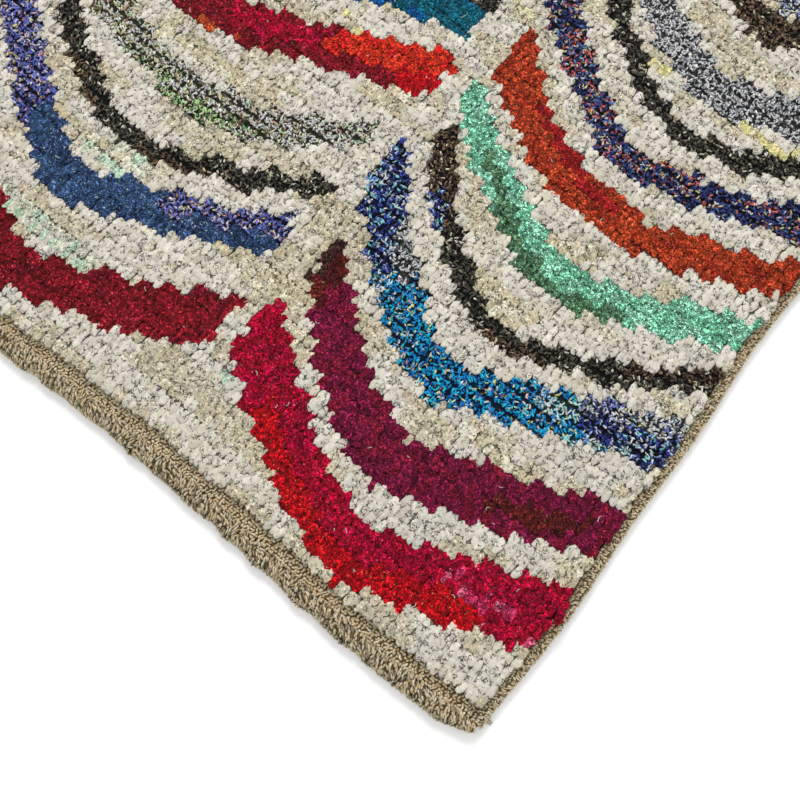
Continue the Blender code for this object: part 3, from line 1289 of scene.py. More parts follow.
@dataclass
class Pile:
    """The knotted pile, in strips along the warps."""

    plan: RugPlan
    knots: KnotGrid
    strips: int = 8
    felted: CushionStyle = CushionStyle(8, 0.0, 0.00022)
    matted: CushionStyle = CushionStyle(6, 0.0002, 0.00012)
    inner_rings: tuple[Ring, ...] = (Ring(0.88, 0.00006, 0.0), Ring(1.0, 0.0008, 0.38))
    rim_rings: tuple[Ring, ...] = (
        Ring(0.84, 0.00005, 0.0),
        Ring(1.0, 0.0012, 0.13),
        Ring(0.92, 0.0050, 0.08),
    )
    least_size: tuple[float, float] = (1.20, 1.35)  # of a cushion, over that of its knot's cell
    greatest_size: tuple[float, float] = (1.50, 1.65)
    stray_across: float = 0.0003
    stray_along: float = 0.0005
    turn: float = 0.30
    tilt: float = 0.05
    raggedness: float = 0.14
    lean: float = 0.0008
    pale_ends: EndStyle = EndStyle(4, 0.0024, 0.00050, (-1.0, 0.0, 1.0), 0.0002, 0.4)
    fine_ends: EndStyle = EndStyle(8, 0.0024, 0.00050, (-1.0, 0.0, 1.0), 0.0002, 0.8)
    loose_ends: EndStyle = EndStyle(10, 0.0034, 0.00072, (-1.0, -0.55, 0.55, 1.0), 0.0008, 2.4)
    end_spread: float = 0.46  # of a knot's cell
    end_rise: float = 0.0001
    end_pitch: float = 0.30
    end_bend: float = 0.35
    end_lengths: tuple[float, float] = (0.7, 1.3)
    end_radii: tuple[float, float] = (0.75, 1.25)
    end_shadow: float = 0.13
    end_light: float = 1.25
    usual_depth: float = 0.55
    curl_share: float = 0.16
    curl_spread: float = 0.3
    curl_sweep: tuple[float, float] = (2.6, 4.6)
    curl_sizes: tuple[float, float] = (0.8, 1.25)
    curl_steps: int = 6
    curl_radius: float = 0.0013
    curl_thinness: float = 0.8
    curl_drop: float = 0.0012
    curl_light: float = 1.5
    map_shares: tuple[float, ...] = (0.26, 0.02, 0.16, 0.02, 0.07, 0.17, 0.25, 0.05)

    def cushions_of(self, chosen: Array, style: CushionStyle, rng: np.random.Generator) -> list[YarnMesh]:
        """Cushions within the field, then those of its rim, which reach farther down.

        Args:
            chosen: The knots.
            style: The kind of cushion.
            rng: Random numbers.

        Returns:
            The cushions, in two parts.
        """
        at_rim = self.knots.at_rim[chosen]
        parts = (chosen[~at_rim], self.inner_rings), (chosen[at_rim], self.rim_rings)
        return [self.cushions_with(rings, part, style, rng) for part, rings in parts]

    def cushions_with(
        self, rings: tuple[Ring, ...], chosen: Array, style: CushionStyle, rng: np.random.Generator
    ) -> YarnMesh:
        """Cushions larger than their knots' cells, which stray and turn a little about their knots.

        Args:
            rings: The rings of each.
            chosen: The knots.
            style: The kind of cushion.
            rng: Random numbers.

        Returns:
            The cushions.
        """
        count = len(chosen)
        x = self.knots.x[chosen] + self.stray_across * stray(rng, count)
        y = self.knots.y[chosen] - self.lean + self.stray_along * stray(rng, count)
        top = self.plan.pile_height(x, y) - style.sink + style.jitter * stray(rng, count)
        size = rng.uniform(self.least_size, self.greatest_size, (count, 2))
        half = np.tile(self.knots.cell, (count, 1)) / 2 * size
        turn = self.turn * stray(rng, count)
        tilt = self.tilt * stray(rng, count)
        colours = self.knots.end_colours(chosen, rng, with_flecks=False)
        tops = together(x, y, top)
        return cushions(tops, half, turn, tilt, colours, rings, style.sides, self.raggedness, rng)

    def ends(self, chosen: Array, style: EndStyle, rng: np.random.Generator) -> YarnMesh:
        """Short cut ends about the chosen knots, lying every way, with a slight bend.

        Args:
            chosen: The knots.
            style: The kind of end.
            rng: Random numbers.

        Returns:
            The ends.
        """
        cell_width, cell_length = self.knots.cell
        each, steps = style.each, np.array(style.steps)
        knots = np.repeat(chosen, each)
        count = len(knots)
        bearing = FULL_TURN * (np.tile(np.arange(each), len(chosen)) / each) + rng.uniform(-0.5, 0.5, count)
        bearing = bearing + np.repeat(rng.uniform(0.0, FULL_TURN, len(chosen)), each)
        out = self.end_spread * np.sqrt(rng.uniform(0.05, 1.0, count))
        x = self.knots.x[knots] + cell_width * out * np.cos(bearing)
        y = self.knots.y[knots] + cell_length * out * np.sin(bearing) - self.lean
        depth = rng.uniform(0.0, 1.0, count)
        z = self.plan.pile_height(x, y) + self.end_rise - 2.0 * style.sink * depth
        heading = rng.uniform(0.0, np.pi, count)
        pitch = self.end_pitch * stray(rng, count)
        reach = style.length * rng.uniform(*self.end_lengths, count) / 2
        ahead = together(np.cos(heading) * np.cos(pitch), np.sin(heading) * np.cos(pitch), np.sin(pitch))
        beside = together(-np.sin(heading), np.cos(heading), 0.0)
        bend = self.end_bend * style.length * stray(rng, count)
        paths = together(x, y, z)[:, None] + (reach[:, None] * steps)[..., None] * ahead[:, None]
        paths = paths + (bend[:, None] * (0.5 - steps**2))[..., None] * beside[:, None]
        radii = style.radius * rng.uniform(*self.end_radii, (count, 1))
        # painted light and shade: ends that lie higher are lighter and lower ones darker, all raised by
        # end_light
        bright = (self.end_light + style.contrast * (self.usual_depth - depth))[:, None]
        colours = self.knots.end_colours(knots, rng)
        colours[:, :3] = np.minimum(colours[:, :3] * bright, BRIGHTEST)
        return strands(paths, radii, colours[:, None], self.end_shadow)

    def curls(self, chosen: Array, rng: np.random.Generator) -> YarnMesh:
        """Longer ends that curl through most of a circle on top of the loose knots.

        Args:
            chosen: The loose knots.
            rng: Random numbers.

        Returns:
            The curled ends.
        """
        knots = chosen[rng.uniform(size=len(chosen)) < self.curl_share]
        count = len(knots)
        width, length = self.knots.cell
        x = self.knots.x[knots] + self.curl_spread * width * stray(rng, count)
        y = self.knots.y[knots] + self.curl_spread * length * stray(rng, count) - self.lean
        z = self.plan.pile_height(x, y) - self.end_rise
        start = rng.uniform(0.0, FULL_TURN, count)
        sweep = rng.uniform(*self.curl_sweep, count) * np.where(rng.uniform(size=count) < 0.5, -1.0, 1.0)
        way = np.linspace(0.0, 1.0, self.curl_steps)
        bearing = start[:, None] + sweep[:, None] * way
        radius = self.curl_radius * rng.uniform(*self.curl_sizes, count)[:, None]
        drop = self.curl_drop * (2.0 * way - 1.0) ** 2
        across, along = radius * np.cos(bearing), radius * np.sin(bearing)
        paths = together(x[:, None] + across, y[:, None] + along, z[:, None] - drop)
        # painted light: the curls, lying on top of the pile, are made lighter
        light = (self.curl_light, self.curl_light, self.curl_light, 1.0)
        colours = np.minimum(self.knots.end_colours(knots, rng)[:, None] * light, BRIGHTEST)
        return strands(paths, self.curl_thinness * self.loose_ends.radius, colours, self.end_shadow)

    def build(self) -> list[bpy.types.Object]:
        """Makes the strips and dresses them.

        Returns:
            The strips, from left to right.
        """
        material = PILE_FINISH.material()
        kinds = np.array([list(PileKind).index(yarn.kind) for yarn in YARNS])[self.knots.yarn]
        pale = np.array([yarn.is_pale for yarn in YARNS])[self.knots.yarn]
        strip = self.knots.column * self.strips // self.knots.columns
        pieces = []
        for number in range(self.strips):
            rng = np.random.default_rng(Seed.FIRST_STRIP + number)
            felted, matted, loose = [np.flatnonzero((strip == number) & (kinds == kind)) for kind in range(3)]
            is_pale = pale[matted]
            parts = [
                *self.cushions_of(felted, self.felted, rng),
                *self.cushions_of(matted, self.matted, rng),
                self.ends(matted[is_pale], self.pale_ends, rng),
                self.ends(matted[~is_pale], self.fine_ends, rng),
                self.ends(loose, self.loose_ends, rng),
                self.curls(loose, rng),
            ]
            item = YarnMesh.joined(parts, self.map_shares).piece(f"pile_strip_{number + 1}", material)
            pieces.append(own_piece(item, PILE_SLOT, "pile_field"))
        return pieces


@dataclass
class GroundCloth:
    """The woven ground with the feet of the pile: one dense cloth, its knots' collars showing on its back."""

    plan: RugPlan
    knots: KnotGrid
    below_top: float = 0.0014
    rim_drop: float = 0.0030
    lump_length: float = 0.0021
    loose_shade: float = 0.03
    dense_shade: float = 0.45
    rim_colour: Colour = (150, 138, 110)

    def heights(self, x: Array, y: Array, at_rim: Array) -> Array:
        """z of the cloth's upper side: under the tufts, lumpy, and lower along its rim."""
        lumps = Unevenness(Seed.CLOTH_LUMPS).at(x / self.lump_length, y / self.lump_length)
        return self.plan.pile_height(x, y) - self.below_top + 0.0002 * lumps - self.rim_drop * at_rim

    def build(self) -> bpy.types.Object:
        """Makes the upper and lower sides as two grids of knot cells, joined round the rim.

        Returns:
            The cloth.
        """
        columns, rows = self.knots.columns, self.knots.rows
        along, across = np.meshgrid(np.arange(rows + 1), np.arange(columns + 1), indexing="ij")
        x, y = self.plan.field_place(across / columns, along / rows)
        at_rim = (across == 0) | (across == columns) | (along == 0) | (along == rows)
        upper = together(x, y, self.heights(x, y, at_rim)).reshape(-1, 3)
        lower = together(x, y, 0.0).reshape(-1, 3)
        shift = len(upper)
        number = np.arange(shift).reshape(rows + 1, columns + 1)
        a, b = number[:-1, :-1].ravel(), number[:-1, 1:].ravel()
        c, d = number[1:, 1:].ravel(), number[1:, :-1].ravel()
        rim = np.concatenate([number[0, :-1], number[:-1, -1], number[-1, :0:-1], number[:0:-1, 0]])
        following = np.roll(rim, -1)
        walls = together(rim + shift, following + shift, following, rim)
        quads = np.concatenate([together(a, b, c, d), together(d, c, b, a) + shift, walls])
        mesh = bpy.data.meshes.new("ground_cloth")
        mesh.from_pydata(np.concatenate([upper, lower]).tolist(), [], quads.tolist())
        self.colour_knots(mesh, len(a), len(rim))
        self.map_knots(mesh, columns, rows)
        mesh.materials.append(BACK_FINISH.material())
        return own_piece(placed("ground_cloth", mesh), PILE_SLOT)

    def colour_knots(self, mesh: bpy.types.Mesh, cells: int, rim: int) -> None:
        """Gives each cell of both sides its knot's colour, darkened on the upper side as painted shade
        between the tufts.

        Args:
            mesh: The cloth's mesh.
            cells: Cells on each side.
            rim: Faces round the rim.
        """
        rng = np.random.default_rng(Seed.BACK)
        colours = self.knots.end_colours(np.arange(cells), rng, with_flecks=False)
        edge = np.tile([*linear(self.rim_colour), 1.0], (rim, 1))
        is_loose = np.array([yarn.kind is PileKind.LOOSE for yarn in YARNS])[self.knots.yarn]
        upper = colours.copy()
        # painted shade: the upper side, seen only between the tufts, is darkened, nearly black under loose
        # knots
        upper[:, :3] *= np.where(is_loose, self.loose_shade, self.dense_shade)[:, None]
        faces = np.concatenate([upper, colours, edge])
        layer = mesh.color_attributes.new(name=COLOUR_LAYER, type="FLOAT_COLOR", domain="CORNER")
        fill(layer.data, "color", np.repeat(faces, 4, axis=0))

    def map_knots(self, mesh: bpy.types.Mesh, columns: int, rows: int) -> None:
        """Maps the cloth: knot numbers for the ribs, and each side in its own half of the baked map.

        Args:
            mesh: The cloth's mesh.
            columns: Cells across.
            rows: Cells along.
        """
        loops = np.zeros(len(mesh.loops), np.int32)
        mesh.loops.foreach_get("vertex_index", loops)
        per_side = (columns + 1) * (rows + 1)
        is_lower = loops >= per_side
        row, column = np.divmod(loops % per_side, columns + 1)
        halves = together(0.01 + 0.48 * column / columns + 0.5 * is_lower, 0.02 + 0.96 * row / rows)
        maps = {BAKE_MAP: halves, KNOT_MAP: together(column, row)}
        for name in maps:
            mesh.uv_layers.new(name=name)
        for name, spots in maps.items():
            fill(mesh.uv_layers[name].data, "uv", spots)


@dataclass
class TanYarn:
    """Colours of the spun tan yarn of the edges."""

    light: Colour = (255, 244, 214)
    mean: Colour = (226, 205, 166)
    dark: Colour = (168, 143, 102)
    # painted shade: the core between strands is the dark yarn darkened to this share
    core_share: float = 0.26

    def colours(self, count: int, rng: np.random.Generator) -> Array:
        """A colour for each strand, between the dark and the light one.

        Args:
            count: How many strands.
            rng: Random numbers.

        Returns:
            Colours, as (strands, 4).
        """
        way = np.clip(rng.normal(0.55, 0.22, count), 0.0, 1.0)[:, None]
        low, middle, high = linear(self.dark), linear(self.mean), linear(self.light)
        tints = np.where(way < 0.5, low + (middle - low) * way * 2, middle + (high - middle) * (way * 2 - 1))
        return np.concatenate([tints, np.ones((count, 1))], axis=1)

    def lit(self, light: Array, rng: np.random.Generator) -> Array:
        """A colour for each strand, times its own light; the lightest keep their hue.

        Args:
            light: Each strand's light.
            rng: Random numbers.

        Returns:
            Colours, as (strands, 4).
        """
        colours = self.colours(len(light), rng)
        brightest = colours[:, :3].max(axis=1)
        share = np.minimum(light, BRIGHTEST / brightest)
        return np.concatenate([colours[:, :3] * share[:, None], colours[:, 3:]], axis=1)

    def core(self) -> Array:
        """The core's colour: the dark yarn darkened to a share, as painted shade between the strands."""
        return np.append(linear(self.dark) * self.core_share, 1.0)


@dataclass
class TanEdge:
    """What the three kinds of tan edge share."""

    plan: RugPlan
    yarn: TanYarn

    def dressed(
        self, name: str, solid: str, is_turned: bool, parts: list[YarnMesh], shares: tuple[float, ...]
    ) -> bpy.types.Object:
        """Makes one piece that stands for a solid.

        Args:
            name: The piece's name.
            solid: The solid's name.
            is_turned: Whether it is turned half round, for the far end or the left side.
            parts: The meshes that make it up.
            shares: Their shares of the map's height.

        Returns:
            The piece.
        """
        whole = YarnMesh.joined(parts, shares)
        if is_turned:
            whole = whole.turned()
        return own_piece(whole.piece(name, TAN_FINISH.material()), TAN_SLOT, solid)


@dataclass
class Selvedge(TanEdge):
    """An overcast side cord: a core under rows of short loops of yarn."""

    rows: int = 5
    pitch: float = 0.00142
    outer_angle: float = -30.0
    inner_angle: float = 178.0
    loop_length: float = 0.0031
    loop_radius: float = 0.00082
    row_stray: float = 0.4  # of a row's or a column's pitch
    heading: float = 0.25
    heading_wave: float = 0.5
    heading_wave_length: float = 0.006
    heading_stray: float = 0.45
    sizes: tuple[float, float] = (0.75, 1.2)
    lights: tuple[float, float] = (0.65, 2.10)
    climb: float = 0.0038
    dive: float = 0.0005
    shadow: float = 0.14
    past_end: float = 0.0010
    core_share: float = 0.92
    core_steps: int = 60
    core_sides: int = 8

    def section(self, angle: Array, share: Array) -> tuple[Array, Array]:
        """Across and up on the cord's section: a flattened circle that climbs towards the pile.

        Args:
            angle: Way round the cord, 0 on its outer side.
            share: Share of the full radius.

        Returns:
            Across, from the cord's middle, and up, from the floor.
        """
        across = share * self.plan.selvedge_width / 2 * np.cos(angle)
        up = self.plan.selvedge_height / 2 * (1.0 + share * np.sin(angle))
        return across, up + self.climb * np.maximum(-np.cos(angle), 0.0) ** 2

    def loops(self, near: float, far: float, rng: np.random.Generator) -> YarnMesh:
        """The loops, in rows from under the cord's outer side to the pile, each turned and sized its own way.

        Args:
            near: y of the first loops.
            far: y of the last ones.
            rng: Random numbers.

        Returns:
            The loops.
        """
        plan = self.plan
        columns = int((far - near) / self.pitch)
        row, column = np.divmod(np.arange(self.rows * columns), columns)
        y = near + (column + 0.5 * (row % 2) + self.row_stray * stray(rng, len(row))) * self.pitch
        way = (row + 0.5 + self.row_stray * stray(rng, len(row))) / self.rows
        angle = np.radians(self.outer_angle + (self.inner_angle - self.outer_angle) * way)
        across, up = self.section(angle, rng.uniform(0.90, 1.0, len(row)))
        centres = together(plan.right_edge(y) - plan.selvedge_width / 2 + across, y, up)
        over = together(np.cos(angle), 0.0, np.sin(angle))
        wave = Unevenness(Seed.SELVEDGE_HEADINGS).at(y / self.heading_wave_length, 2.0 * way)
        heading = self.heading + self.heading_wave * wave
        heading = (heading + rng.normal(0.0, self.heading_stray, len(row)))[:, None]
        around = together(np.sin(angle), 0.0, -np.cos(angle))
        ahead = np.cos(heading) * around + np.sin(heading) * (0.0, 1.0, 0.0)
        sizes = (self.loop_length, self.loop_radius) * rng.uniform(*self.sizes, (len(row), 2))
        colours = self.yarn.lit(rng.uniform(*self.lights, len(row)), rng)
        return loops(centres, ahead, over, sizes, self.dive, colours, self.shadow)

    def build(self, name: str, on_left: bool) -> bpy.types.Object:
        """Makes the cord's core and loops, turned half round for the left side.

        Args:
            name: Name of the side.
            on_left: Whether it is the left one.

        Returns:
            The piece.
        """
        rng = np.random.default_rng(Seed.SELVEDGE)
        plan = self.plan
        near = float(plan.near_edge(np.array(plan.width / 2))) + plan.plait_width
        far = -float(plan.near_edge(np.array(-plan.width / 2))) - plan.plait_width
        y = np.linspace(near, far, self.core_steps)[:, None]
        angle = np.linspace(0.0, FULL_TURN, self.core_sides, endpoint=False)
        across, up = self.section(angle, self.core_share)
        rings = together(plan.right_edge(y) - plan.selvedge_width / 2 + across, y, up)
        loops_over = self.loops(near - self.past_end, far + self.past_end, rng)
        parts = [bar(rings[::-1], self.yarn.core()), loops_over]
        return self.dressed(f"selvedge_wraps_{name}", f"selvedge_{name}", on_left, parts, (0.05, 0.95))


@dataclass
class EndWeave(TanEdge):
    """The flat-woven band past the pile: rows of small floats over a low core."""

    rows: int = 5
    float_pitch: float = 0.0024
    float_length: float = 0.0029
    float_radius: float = 0.00090
    stray_across: float = 0.0007
    stray_along: float = 0.0005
    stray_up: float = 0.0004
    rise: float = 0.0003
    from_side: float = 0.001
    headings: tuple[float, float] = (1.45, 0.15)
    heading_share: float = 0.55
    heading_stray: float = 0.30
    sizes: tuple[float, float] = (0.75, 1.25)
    lights: tuple[float, float] = (1.0, 2.4)
    over_joint: float = 0.0012
    dive: float = 0.0004
    shadow: float = 0.11
    core_light: float = 1.8
    core_drop: float = 0.0008
    core_steps: int = 60

    def build(self, name: str, is_far: bool) -> bpy.types.Object:
        """Makes the band's core and its floats, turned half round for the far end.

        Args:
            name: Name of the end.
            is_far: Whether it is the far one.

        Returns:
            The piece.
        """
        rng = np.random.default_rng(Seed.END_WEAVE)
        plan = self.plan
        y_mid = -plan.length / 2 + plan.plait_width + plan.weave_width / 2
        right = float(plan.right_edge(np.array(y_mid))) - plan.selvedge_width - plan.gap
        left = -float(plan.right_edge(np.array(-y_mid))) + plan.selvedge_width + plan.gap
        columns = int((right - left) / self.float_pitch)
        row, column = np.divmod(np.arange(self.rows * columns), columns)
        x = left + (column + 0.5 + 0.5 * (row % 2) * 0.9) * self.float_pitch
        x = x + self.stray_across * stray(rng, len(x))
        x = np.clip(x, left + self.from_side, right - self.from_side)
        row_pitch = (plan.weave_width + self.over_joint) / self.rows
        y = plan.near_edge(x) + plan.plait_width - self.over_joint + (row + 0.5) * row_pitch
        y = y + self.stray_along * stray(rng, len(x))
        z = plan.weave_height + self.rise + self.stray_up * stray(rng, len(x))
        heading = np.where(rng.random(len(x)) < self.heading_share, *self.headings)
        heading = heading + rng.normal(0.0, self.heading_stray, len(x))
        ahead = together(np.cos(heading), np.sin(heading), 0.0)
        over = np.tile(UPWARDS, (len(x), 1))
        sizes = (self.float_length, self.float_radius) * rng.uniform(*self.sizes, (len(x), 2))
        colours = self.yarn.lit(rng.uniform(*self.lights, len(x)), rng)
        floats = loops(together(x, y, z), ahead, over, sizes, self.dive, colours, self.shadow)
        core_x = np.linspace(left, right, self.core_steps)
        outer = plan.near_edge(core_x) + plan.plait_width - self.over_joint
        inner = plan.near_edge(core_x) + plan.plait_width + plan.weave_width + plan.gap
        high = plan.weave_height - self.core_drop
        section = [(outer, 0.0), (inner, 0.0), (inner, high), (outer, high)]
        rings = np.stack([together(core_x, along, up) for along, up in section], axis=1)
        # lessens the core's painted shade under the floats
        core = self.yarn.core() * (self.core_light, self.core_light, self.core_light, 1.0)
        parts = [bar(rings, core), floats]
        return self.dressed(f"weave_band_{name}", f"end_weave_{name}", is_far, parts, (0.05, 0.95))


@dataclass
class EndPlait(TanEdge):
    """The plaited end: a thick ridge of short yarns that slant over it in ropes and drop to the floor."""

    rows: int = 8
    pitch: float = 0.00150
    inner_angle: float = 176.0
    under_angle: float = -38.0
    arc: float = 0.0170
    slant: float = 0.0074
    length: float = 0.0043
    radius: float = 0.00096
    stray_along: float = 0.0006
    stray_down: float = 0.0004
    row_stray: float = 0.35
    from_side: float = 0.0012
    rope_pitch: float = 0.0043
    rope_depth: float = 0.0010
    rope_drift: float = 2.6
    rope_drift_length: float = 0.008
    furrow_from: float = 0.35
    furrow_shade: float = 0.80
    heading_wave: float = 0.7
    heading_wave_length: float = 0.0050
    heading_stray: float = 0.30
    sizes: tuple[float, float] = (0.72, 1.22)
    lights: tuple[float, float] = (0.60, 2.1)
    lump_length: float = 0.0120
    lump: float = 0.0013
    dive: float = 0.0007
    shadow: float = 0.20
    tail_radius: float = 0.00062
    core_inset: float = 0.0014
    core_from_side: float = 0.003
    core_steps: int = 220
    core_sides: int = 8

    def section(self, x: Array, angle: Array, sunk: Array) -> tuple[Array, Array]:
        """y and z on the ridge's rounded section at x, set in a little; its outer side swells in lumps.

        Args:
            x: Places along the end.
            angle: Way round the ridge, 0 on the outer side.
            sunk: How far under the surface.

        Returns:
            y and z.
        """
        plan = self.plan
        span = plan.plait_width - plan.corner_drawn(x)
        outwards = 0.5 + (0.5 - sunk / span) * np.cos(angle)
        swell = self.lump * Unevenness(Seed.PLAIT_LUMPS).at(x / self.lump_length, x * 0.0)
        up = plan.plait_height / 2 + (plan.plait_height / 2 - sunk) * np.sin(angle)
        return plan.near_edge(x) + plan.plait_width - outwards * span - swell * outwards**2, up

    def yarns(self, rng: np.random.Generator) -> YarnMesh:
        """The short yarns, in rows from the inner side to under the outer one, sunk between two ropes.

        Args:
            rng: Random numbers.

        Returns:
            The yarns.
        """
        plan = self.plan
        limit = plan.width / 2 - self.from_side
        columns = int(2 * limit / self.pitch)
        row, column = np.divmod(np.arange(self.rows * columns), columns)
        x = -limit + (column + 0.5 + 0.5 * (row % 2)) * self.pitch + self.stray_along * stray(rng, len(row))
        x = np.clip(x, -limit, limit)
        way = (row + 0.5 + self.row_stray * stray(rng, len(row))) / self.rows
        angle = np.radians(self.inner_angle + (self.under_angle - self.inner_angle) * way)
        from_x = x - self.slant * (1.0 - (1.0 - way) ** 2)
        drift = self.rope_drift * Unevenness(Seed.PLAIT_ROPES).at(from_x / self.rope_drift_length, 2.0 * way)
        rope = np.cos(FULL_TURN * from_x / self.rope_pitch + drift)
        furrow = np.clip((-rope - self.furrow_from) / (1.0 - self.furrow_from), 0.0, 1.0)
        sunk = 0.4 * self.radius + self.rope_depth * furrow + self.stray_down * stray(rng, len(row))
        y, z = self.section(x, angle, sunk)
        over = together(0.0, -np.cos(angle), np.sin(angle))
        outwards = together(0.0, -np.sin(angle), -np.cos(angle))
        heading = np.arctan(2.0 * self.slant * (1.0 - way) / self.arc)
        heading = heading + rng.normal(0.0, self.heading_stray, len(row))
        wave = Unevenness(Seed.PLAIT_HEADINGS).at(x / self.heading_wave_length, 3.0 * way)
        heading = (heading + self.heading_wave * wave)[:, None]
        ahead = np.cos(heading) * outwards + np.sin(heading) * (1.0, 0.0, 0.0)
        sizes = (self.length, self.radius) * rng.uniform(*self.sizes, (len(row), 2))
        # painted shade: strands sunk in the furrows, and those towards the underside, are darker
        light = rng.uniform(*self.lights, len(row)) * (1.0 - self.furrow_shade * furrow) * (1.05 - 0.25 * way)
        colours = self.yarn.lit(light, rng)
        centres = together(x, y, np.maximum(z, 0.5 * self.radius))
        return loops(centres, ahead, over, sizes, self.dive, colours, self.shadow)

    def tail(self, rng: np.random.Generator) -> YarnMesh:
        """A stray yarn end that lies out past the near right corner.

        Args:
            rng: Random numbers.

        Returns:
            The strands of the tail.
        """
        plan = self.plan
        way = np.linspace(0.0, 1.0, 7)
        shift = np.array([-0.0004, 0.0005, 0.0001])[:, None]
        x = plan.width / 2 - 0.0050 + 0.0105 * way + 0.3 * shift
        y = -plan.length / 2 + 0.0130 + 0.0058 * np.sin(1.6 * way) + shift * (1.0 + way)
        z = np.maximum(0.0045 - 0.0042 * way + 0.3 * shift, 0.0004)
        colours = self.yarn.colours(len(shift), rng)[:, None]
        return strands(together(x, y, z), self.tail_radius, colours, self.shadow)

    def build(self, name: str, is_far: bool) -> bpy.types.Object:
        """Makes the core, the short yarns and the stray tail, turned half round for the far end.

        Args:
            name: Name of the end.
            is_far: Whether it is the far one.

        Returns:
            The piece.
        """
        rng = np.random.default_rng(Seed.END_PLAIT)
        limit = self.plan.width / 2 - self.core_from_side
        x = np.linspace(-limit, limit, self.core_steps)[:, None]
        angle = np.linspace(0.0, FULL_TURN, self.core_sides, endpoint=False)
        core = bar(together(x, *self.section(x, angle, self.core_inset)), self.yarn.core())
        parts = [core, self.yarns(rng), self.tail(rng)]
        return self.dressed(f"plait_{name}", f"end_plait_{name}", is_far, parts, (0.05, 0.93, 0.02))


@dataclass
class LintThreads:
    """Stray pale fibres that lie in loose bends on the coloured pile."""

    plan: RugPlan
    knots: KnotGrid
    count: int = 220
    radius: float = 0.00028
    steps: int = 6
    colour: Colour = (226, 220, 206)
    tones: tuple[float, float] = (0.75, 1.0)
    shadow: float = 0.08
    bend: float = 0.6
    bend_change: float = 0.12
    strides: tuple[float, float] = (0.0004, 0.0011)
    rise: float = 0.0003
    stray_up: float = 0.0002

    def build(self) -> bpy.types.Object:
        """Makes the threads: each a path that turns at a slowly changing rate.

        Returns:
            The piece that holds them all.
        """
        rng = np.random.default_rng(Seed.LINT)
        coloured = np.flatnonzero(self.knots.yarn != YARN_NUMBER["cream"])
        knots = rng.choice(coloured, self.count, replace=False)
        heading = rng.uniform(0.0, FULL_TURN, self.count)[:, None]
        bend = rng.uniform(-self.bend, self.bend, (self.count, 1))
        change = rng.uniform(-self.bend_change, self.bend_change, (self.count, 1))
        way = np.arange(self.steps)
        bearing = heading + bend * way + change * way**2
        stride = rng.uniform(*self.strides, (self.count, 1))
        x = self.knots.x[knots][:, None] + np.cumsum(stride * np.cos(bearing), axis=1)
        y = self.knots.y[knots][:, None] + np.cumsum(stride * np.sin(bearing), axis=1)
        limit = self.plan.width / 2 - self.plan.selvedge_width
        x = np.clip(x, -limit, limit)
        z = self.plan.pile_height(x, y) + self.rise + self.stray_up * stray(rng, x.shape)
        tone = rng.uniform(*self.tones, (self.count, 1, 1))
        colours = np.tile([*linear(self.colour), 1.0], (self.count, 1, 1)) * tone
        threads = strands(together(x, y, z), self.radius, colours, self.shadow)
        return own_piece(threads.piece("lint_threads", LINT_FINISH.material()), PILE_SLOT)


# The studio


class Lamp(NamedTuple):
    """A square soft light: where it hangs, the length of its side, and its power in watts."""

    name: str
    place: tuple[float, float, float]
    side: float
    power: float


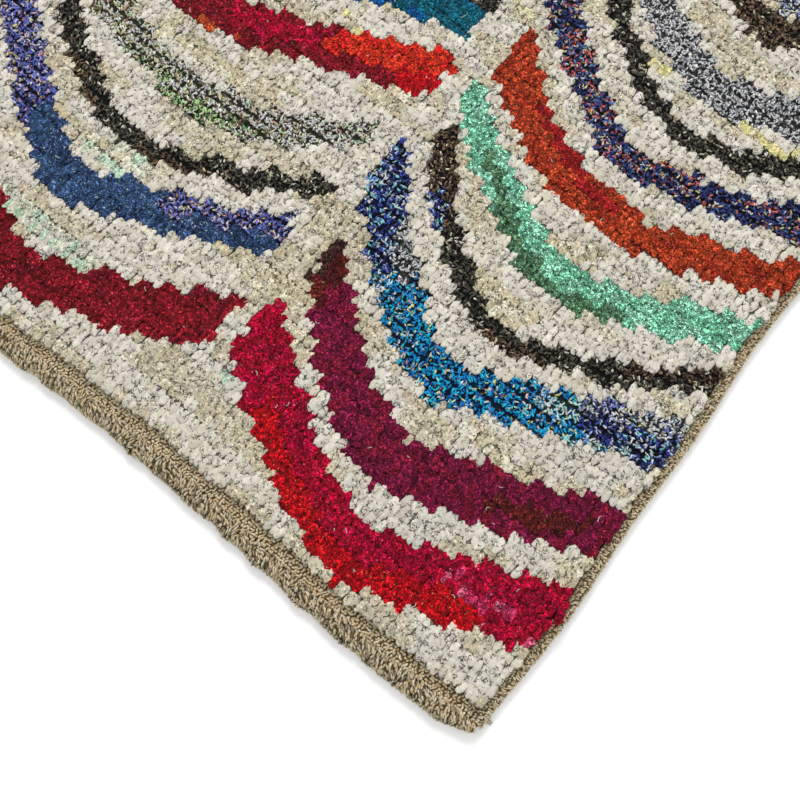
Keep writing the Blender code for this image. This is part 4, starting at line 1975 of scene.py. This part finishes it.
@dataclass(frozen=True)
class Studio:
    """A pale floor, soft light and the camera at the photograph's angle."""

    lens_mm: float = 40.5
    sensor_mm: float = 36.0
    camera_place: tuple[float, float, float] = (0.2353, -0.4321, 0.5697)
    camera_right: tuple[float, float, float] = (0.7743, 0.6328, 0.0)
    camera_forward: tuple[float, float, float] = (-0.1684, 0.2060, -0.9640)
    floor_side: float = 8.0
    floor_drop: float = 0.0003
    floor_colour: Colour = (252, 252, 252)
    sky_strength: float = 0.72
    lamps: tuple[Lamp, ...] = (
        Lamp("key_light", (-1.3, 1.5, 2.0), 1.2, 54.0),
        Lamp("fill_light", (1.8, -1.2, 2.4), 2.5, 22.0),
    )

    def camera(self) -> None:
        """Places the camera: its right and forward directions are the photograph's."""
        data = bpy.data.cameras.new("camera")
        data.lens, data.sensor_width = self.lens_mm, self.sensor_mm
        data.clip_start, data.clip_end = 0.01, 50.0
        item = placed("camera", data)
        forward = Vector(self.camera_forward).normalized()
        right = Vector(self.camera_right).normalized()
        up = right.cross(forward).normalized()
        turn = Matrix((right, up, -forward)).transposed().to_4x4()
        item.matrix_world = Matrix.Translation(Vector(self.camera_place)) @ turn
        bpy.context.scene.camera = item

    def floor(self) -> None:
        """A large pale plane under the rug."""
        half = self.floor_side / 2
        mesh = bpy.data.meshes.new("floor")
        corners = [(-half, -half, 0), (half, -half, 0), (half, half, 0), (-half, half, 0)]
        mesh.from_pydata(corners, [], [(0, 1, 2, 3)])
        pale = (*linear(self.floor_colour).tolist(), 1.0)
        mesh.materials.append(Shader("pale_floor").finish(pale, 0.9))
        item = placed("floor", mesh)
        item.location.z = -self.floor_drop

    def hang(self, lamp: Lamp) -> None:
        """Hangs a light that faces the rug's middle.

        Args:
            lamp: The light.
        """
        data = bpy.data.lights.new(lamp.name, "AREA")
        data.energy, data.size = lamp.power, lamp.side
        item = placed(lamp.name, data)
        item.location = lamp.place
        item.rotation_euler = (-Vector(lamp.place)).to_track_quat("-Z", "Y").to_euler()

    def build(self) -> None:
        """Sets the sky, lights, floor and camera."""
        scene = bpy.context.scene
        scene.view_settings.view_transform = "Standard"
        world = bpy.data.worlds.new("sky")
        scene.world = world
        world.use_nodes = True
        sky = world.node_tree.nodes["Background"]
        sky.inputs["Color"].default_value = (1.0, 1.0, 1.0, 1.0)
        sky.inputs["Strength"].default_value = self.sky_strength
        for lamp in self.lamps:
            self.hang(lamp)
        self.floor()
        self.camera()


def write_sizes() -> None:
    """Updates the scene's view layer.
    """
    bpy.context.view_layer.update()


def main() -> None:
    """Builds the rug's sub-assemblies in order, and the studio round them."""
    logging.basicConfig(level=logging.INFO, format="%(message)s")
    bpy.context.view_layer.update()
    plan = RugPlan()
    knots = KnotGrid(plan)
    loose = sum(YARNS[number].kind is PileKind.LOOSE for number in knots.yarn)
    LOG.info("knots: %d, of which loose: %d", len(knots.yarn), loose)
    yarn = TanYarn()
    cloth = GroundCloth(plan, knots).build()
    strips = Pile(plan, knots).build()
    lint = LintThreads(plan, knots).build()
    plan.flat_size
    for side, on_left in (("right", False), ("left", True)):
        Selvedge(plan, yarn).build(side, on_left)
    for end, is_far in (("near", False), ("far", True)):
        EndWeave(plan, yarn).build(end, is_far)
        EndPlait(plan, yarn).build(end, is_far)
    Studio().build()
    write_sizes()


if __name__ == "__main__":
    main()
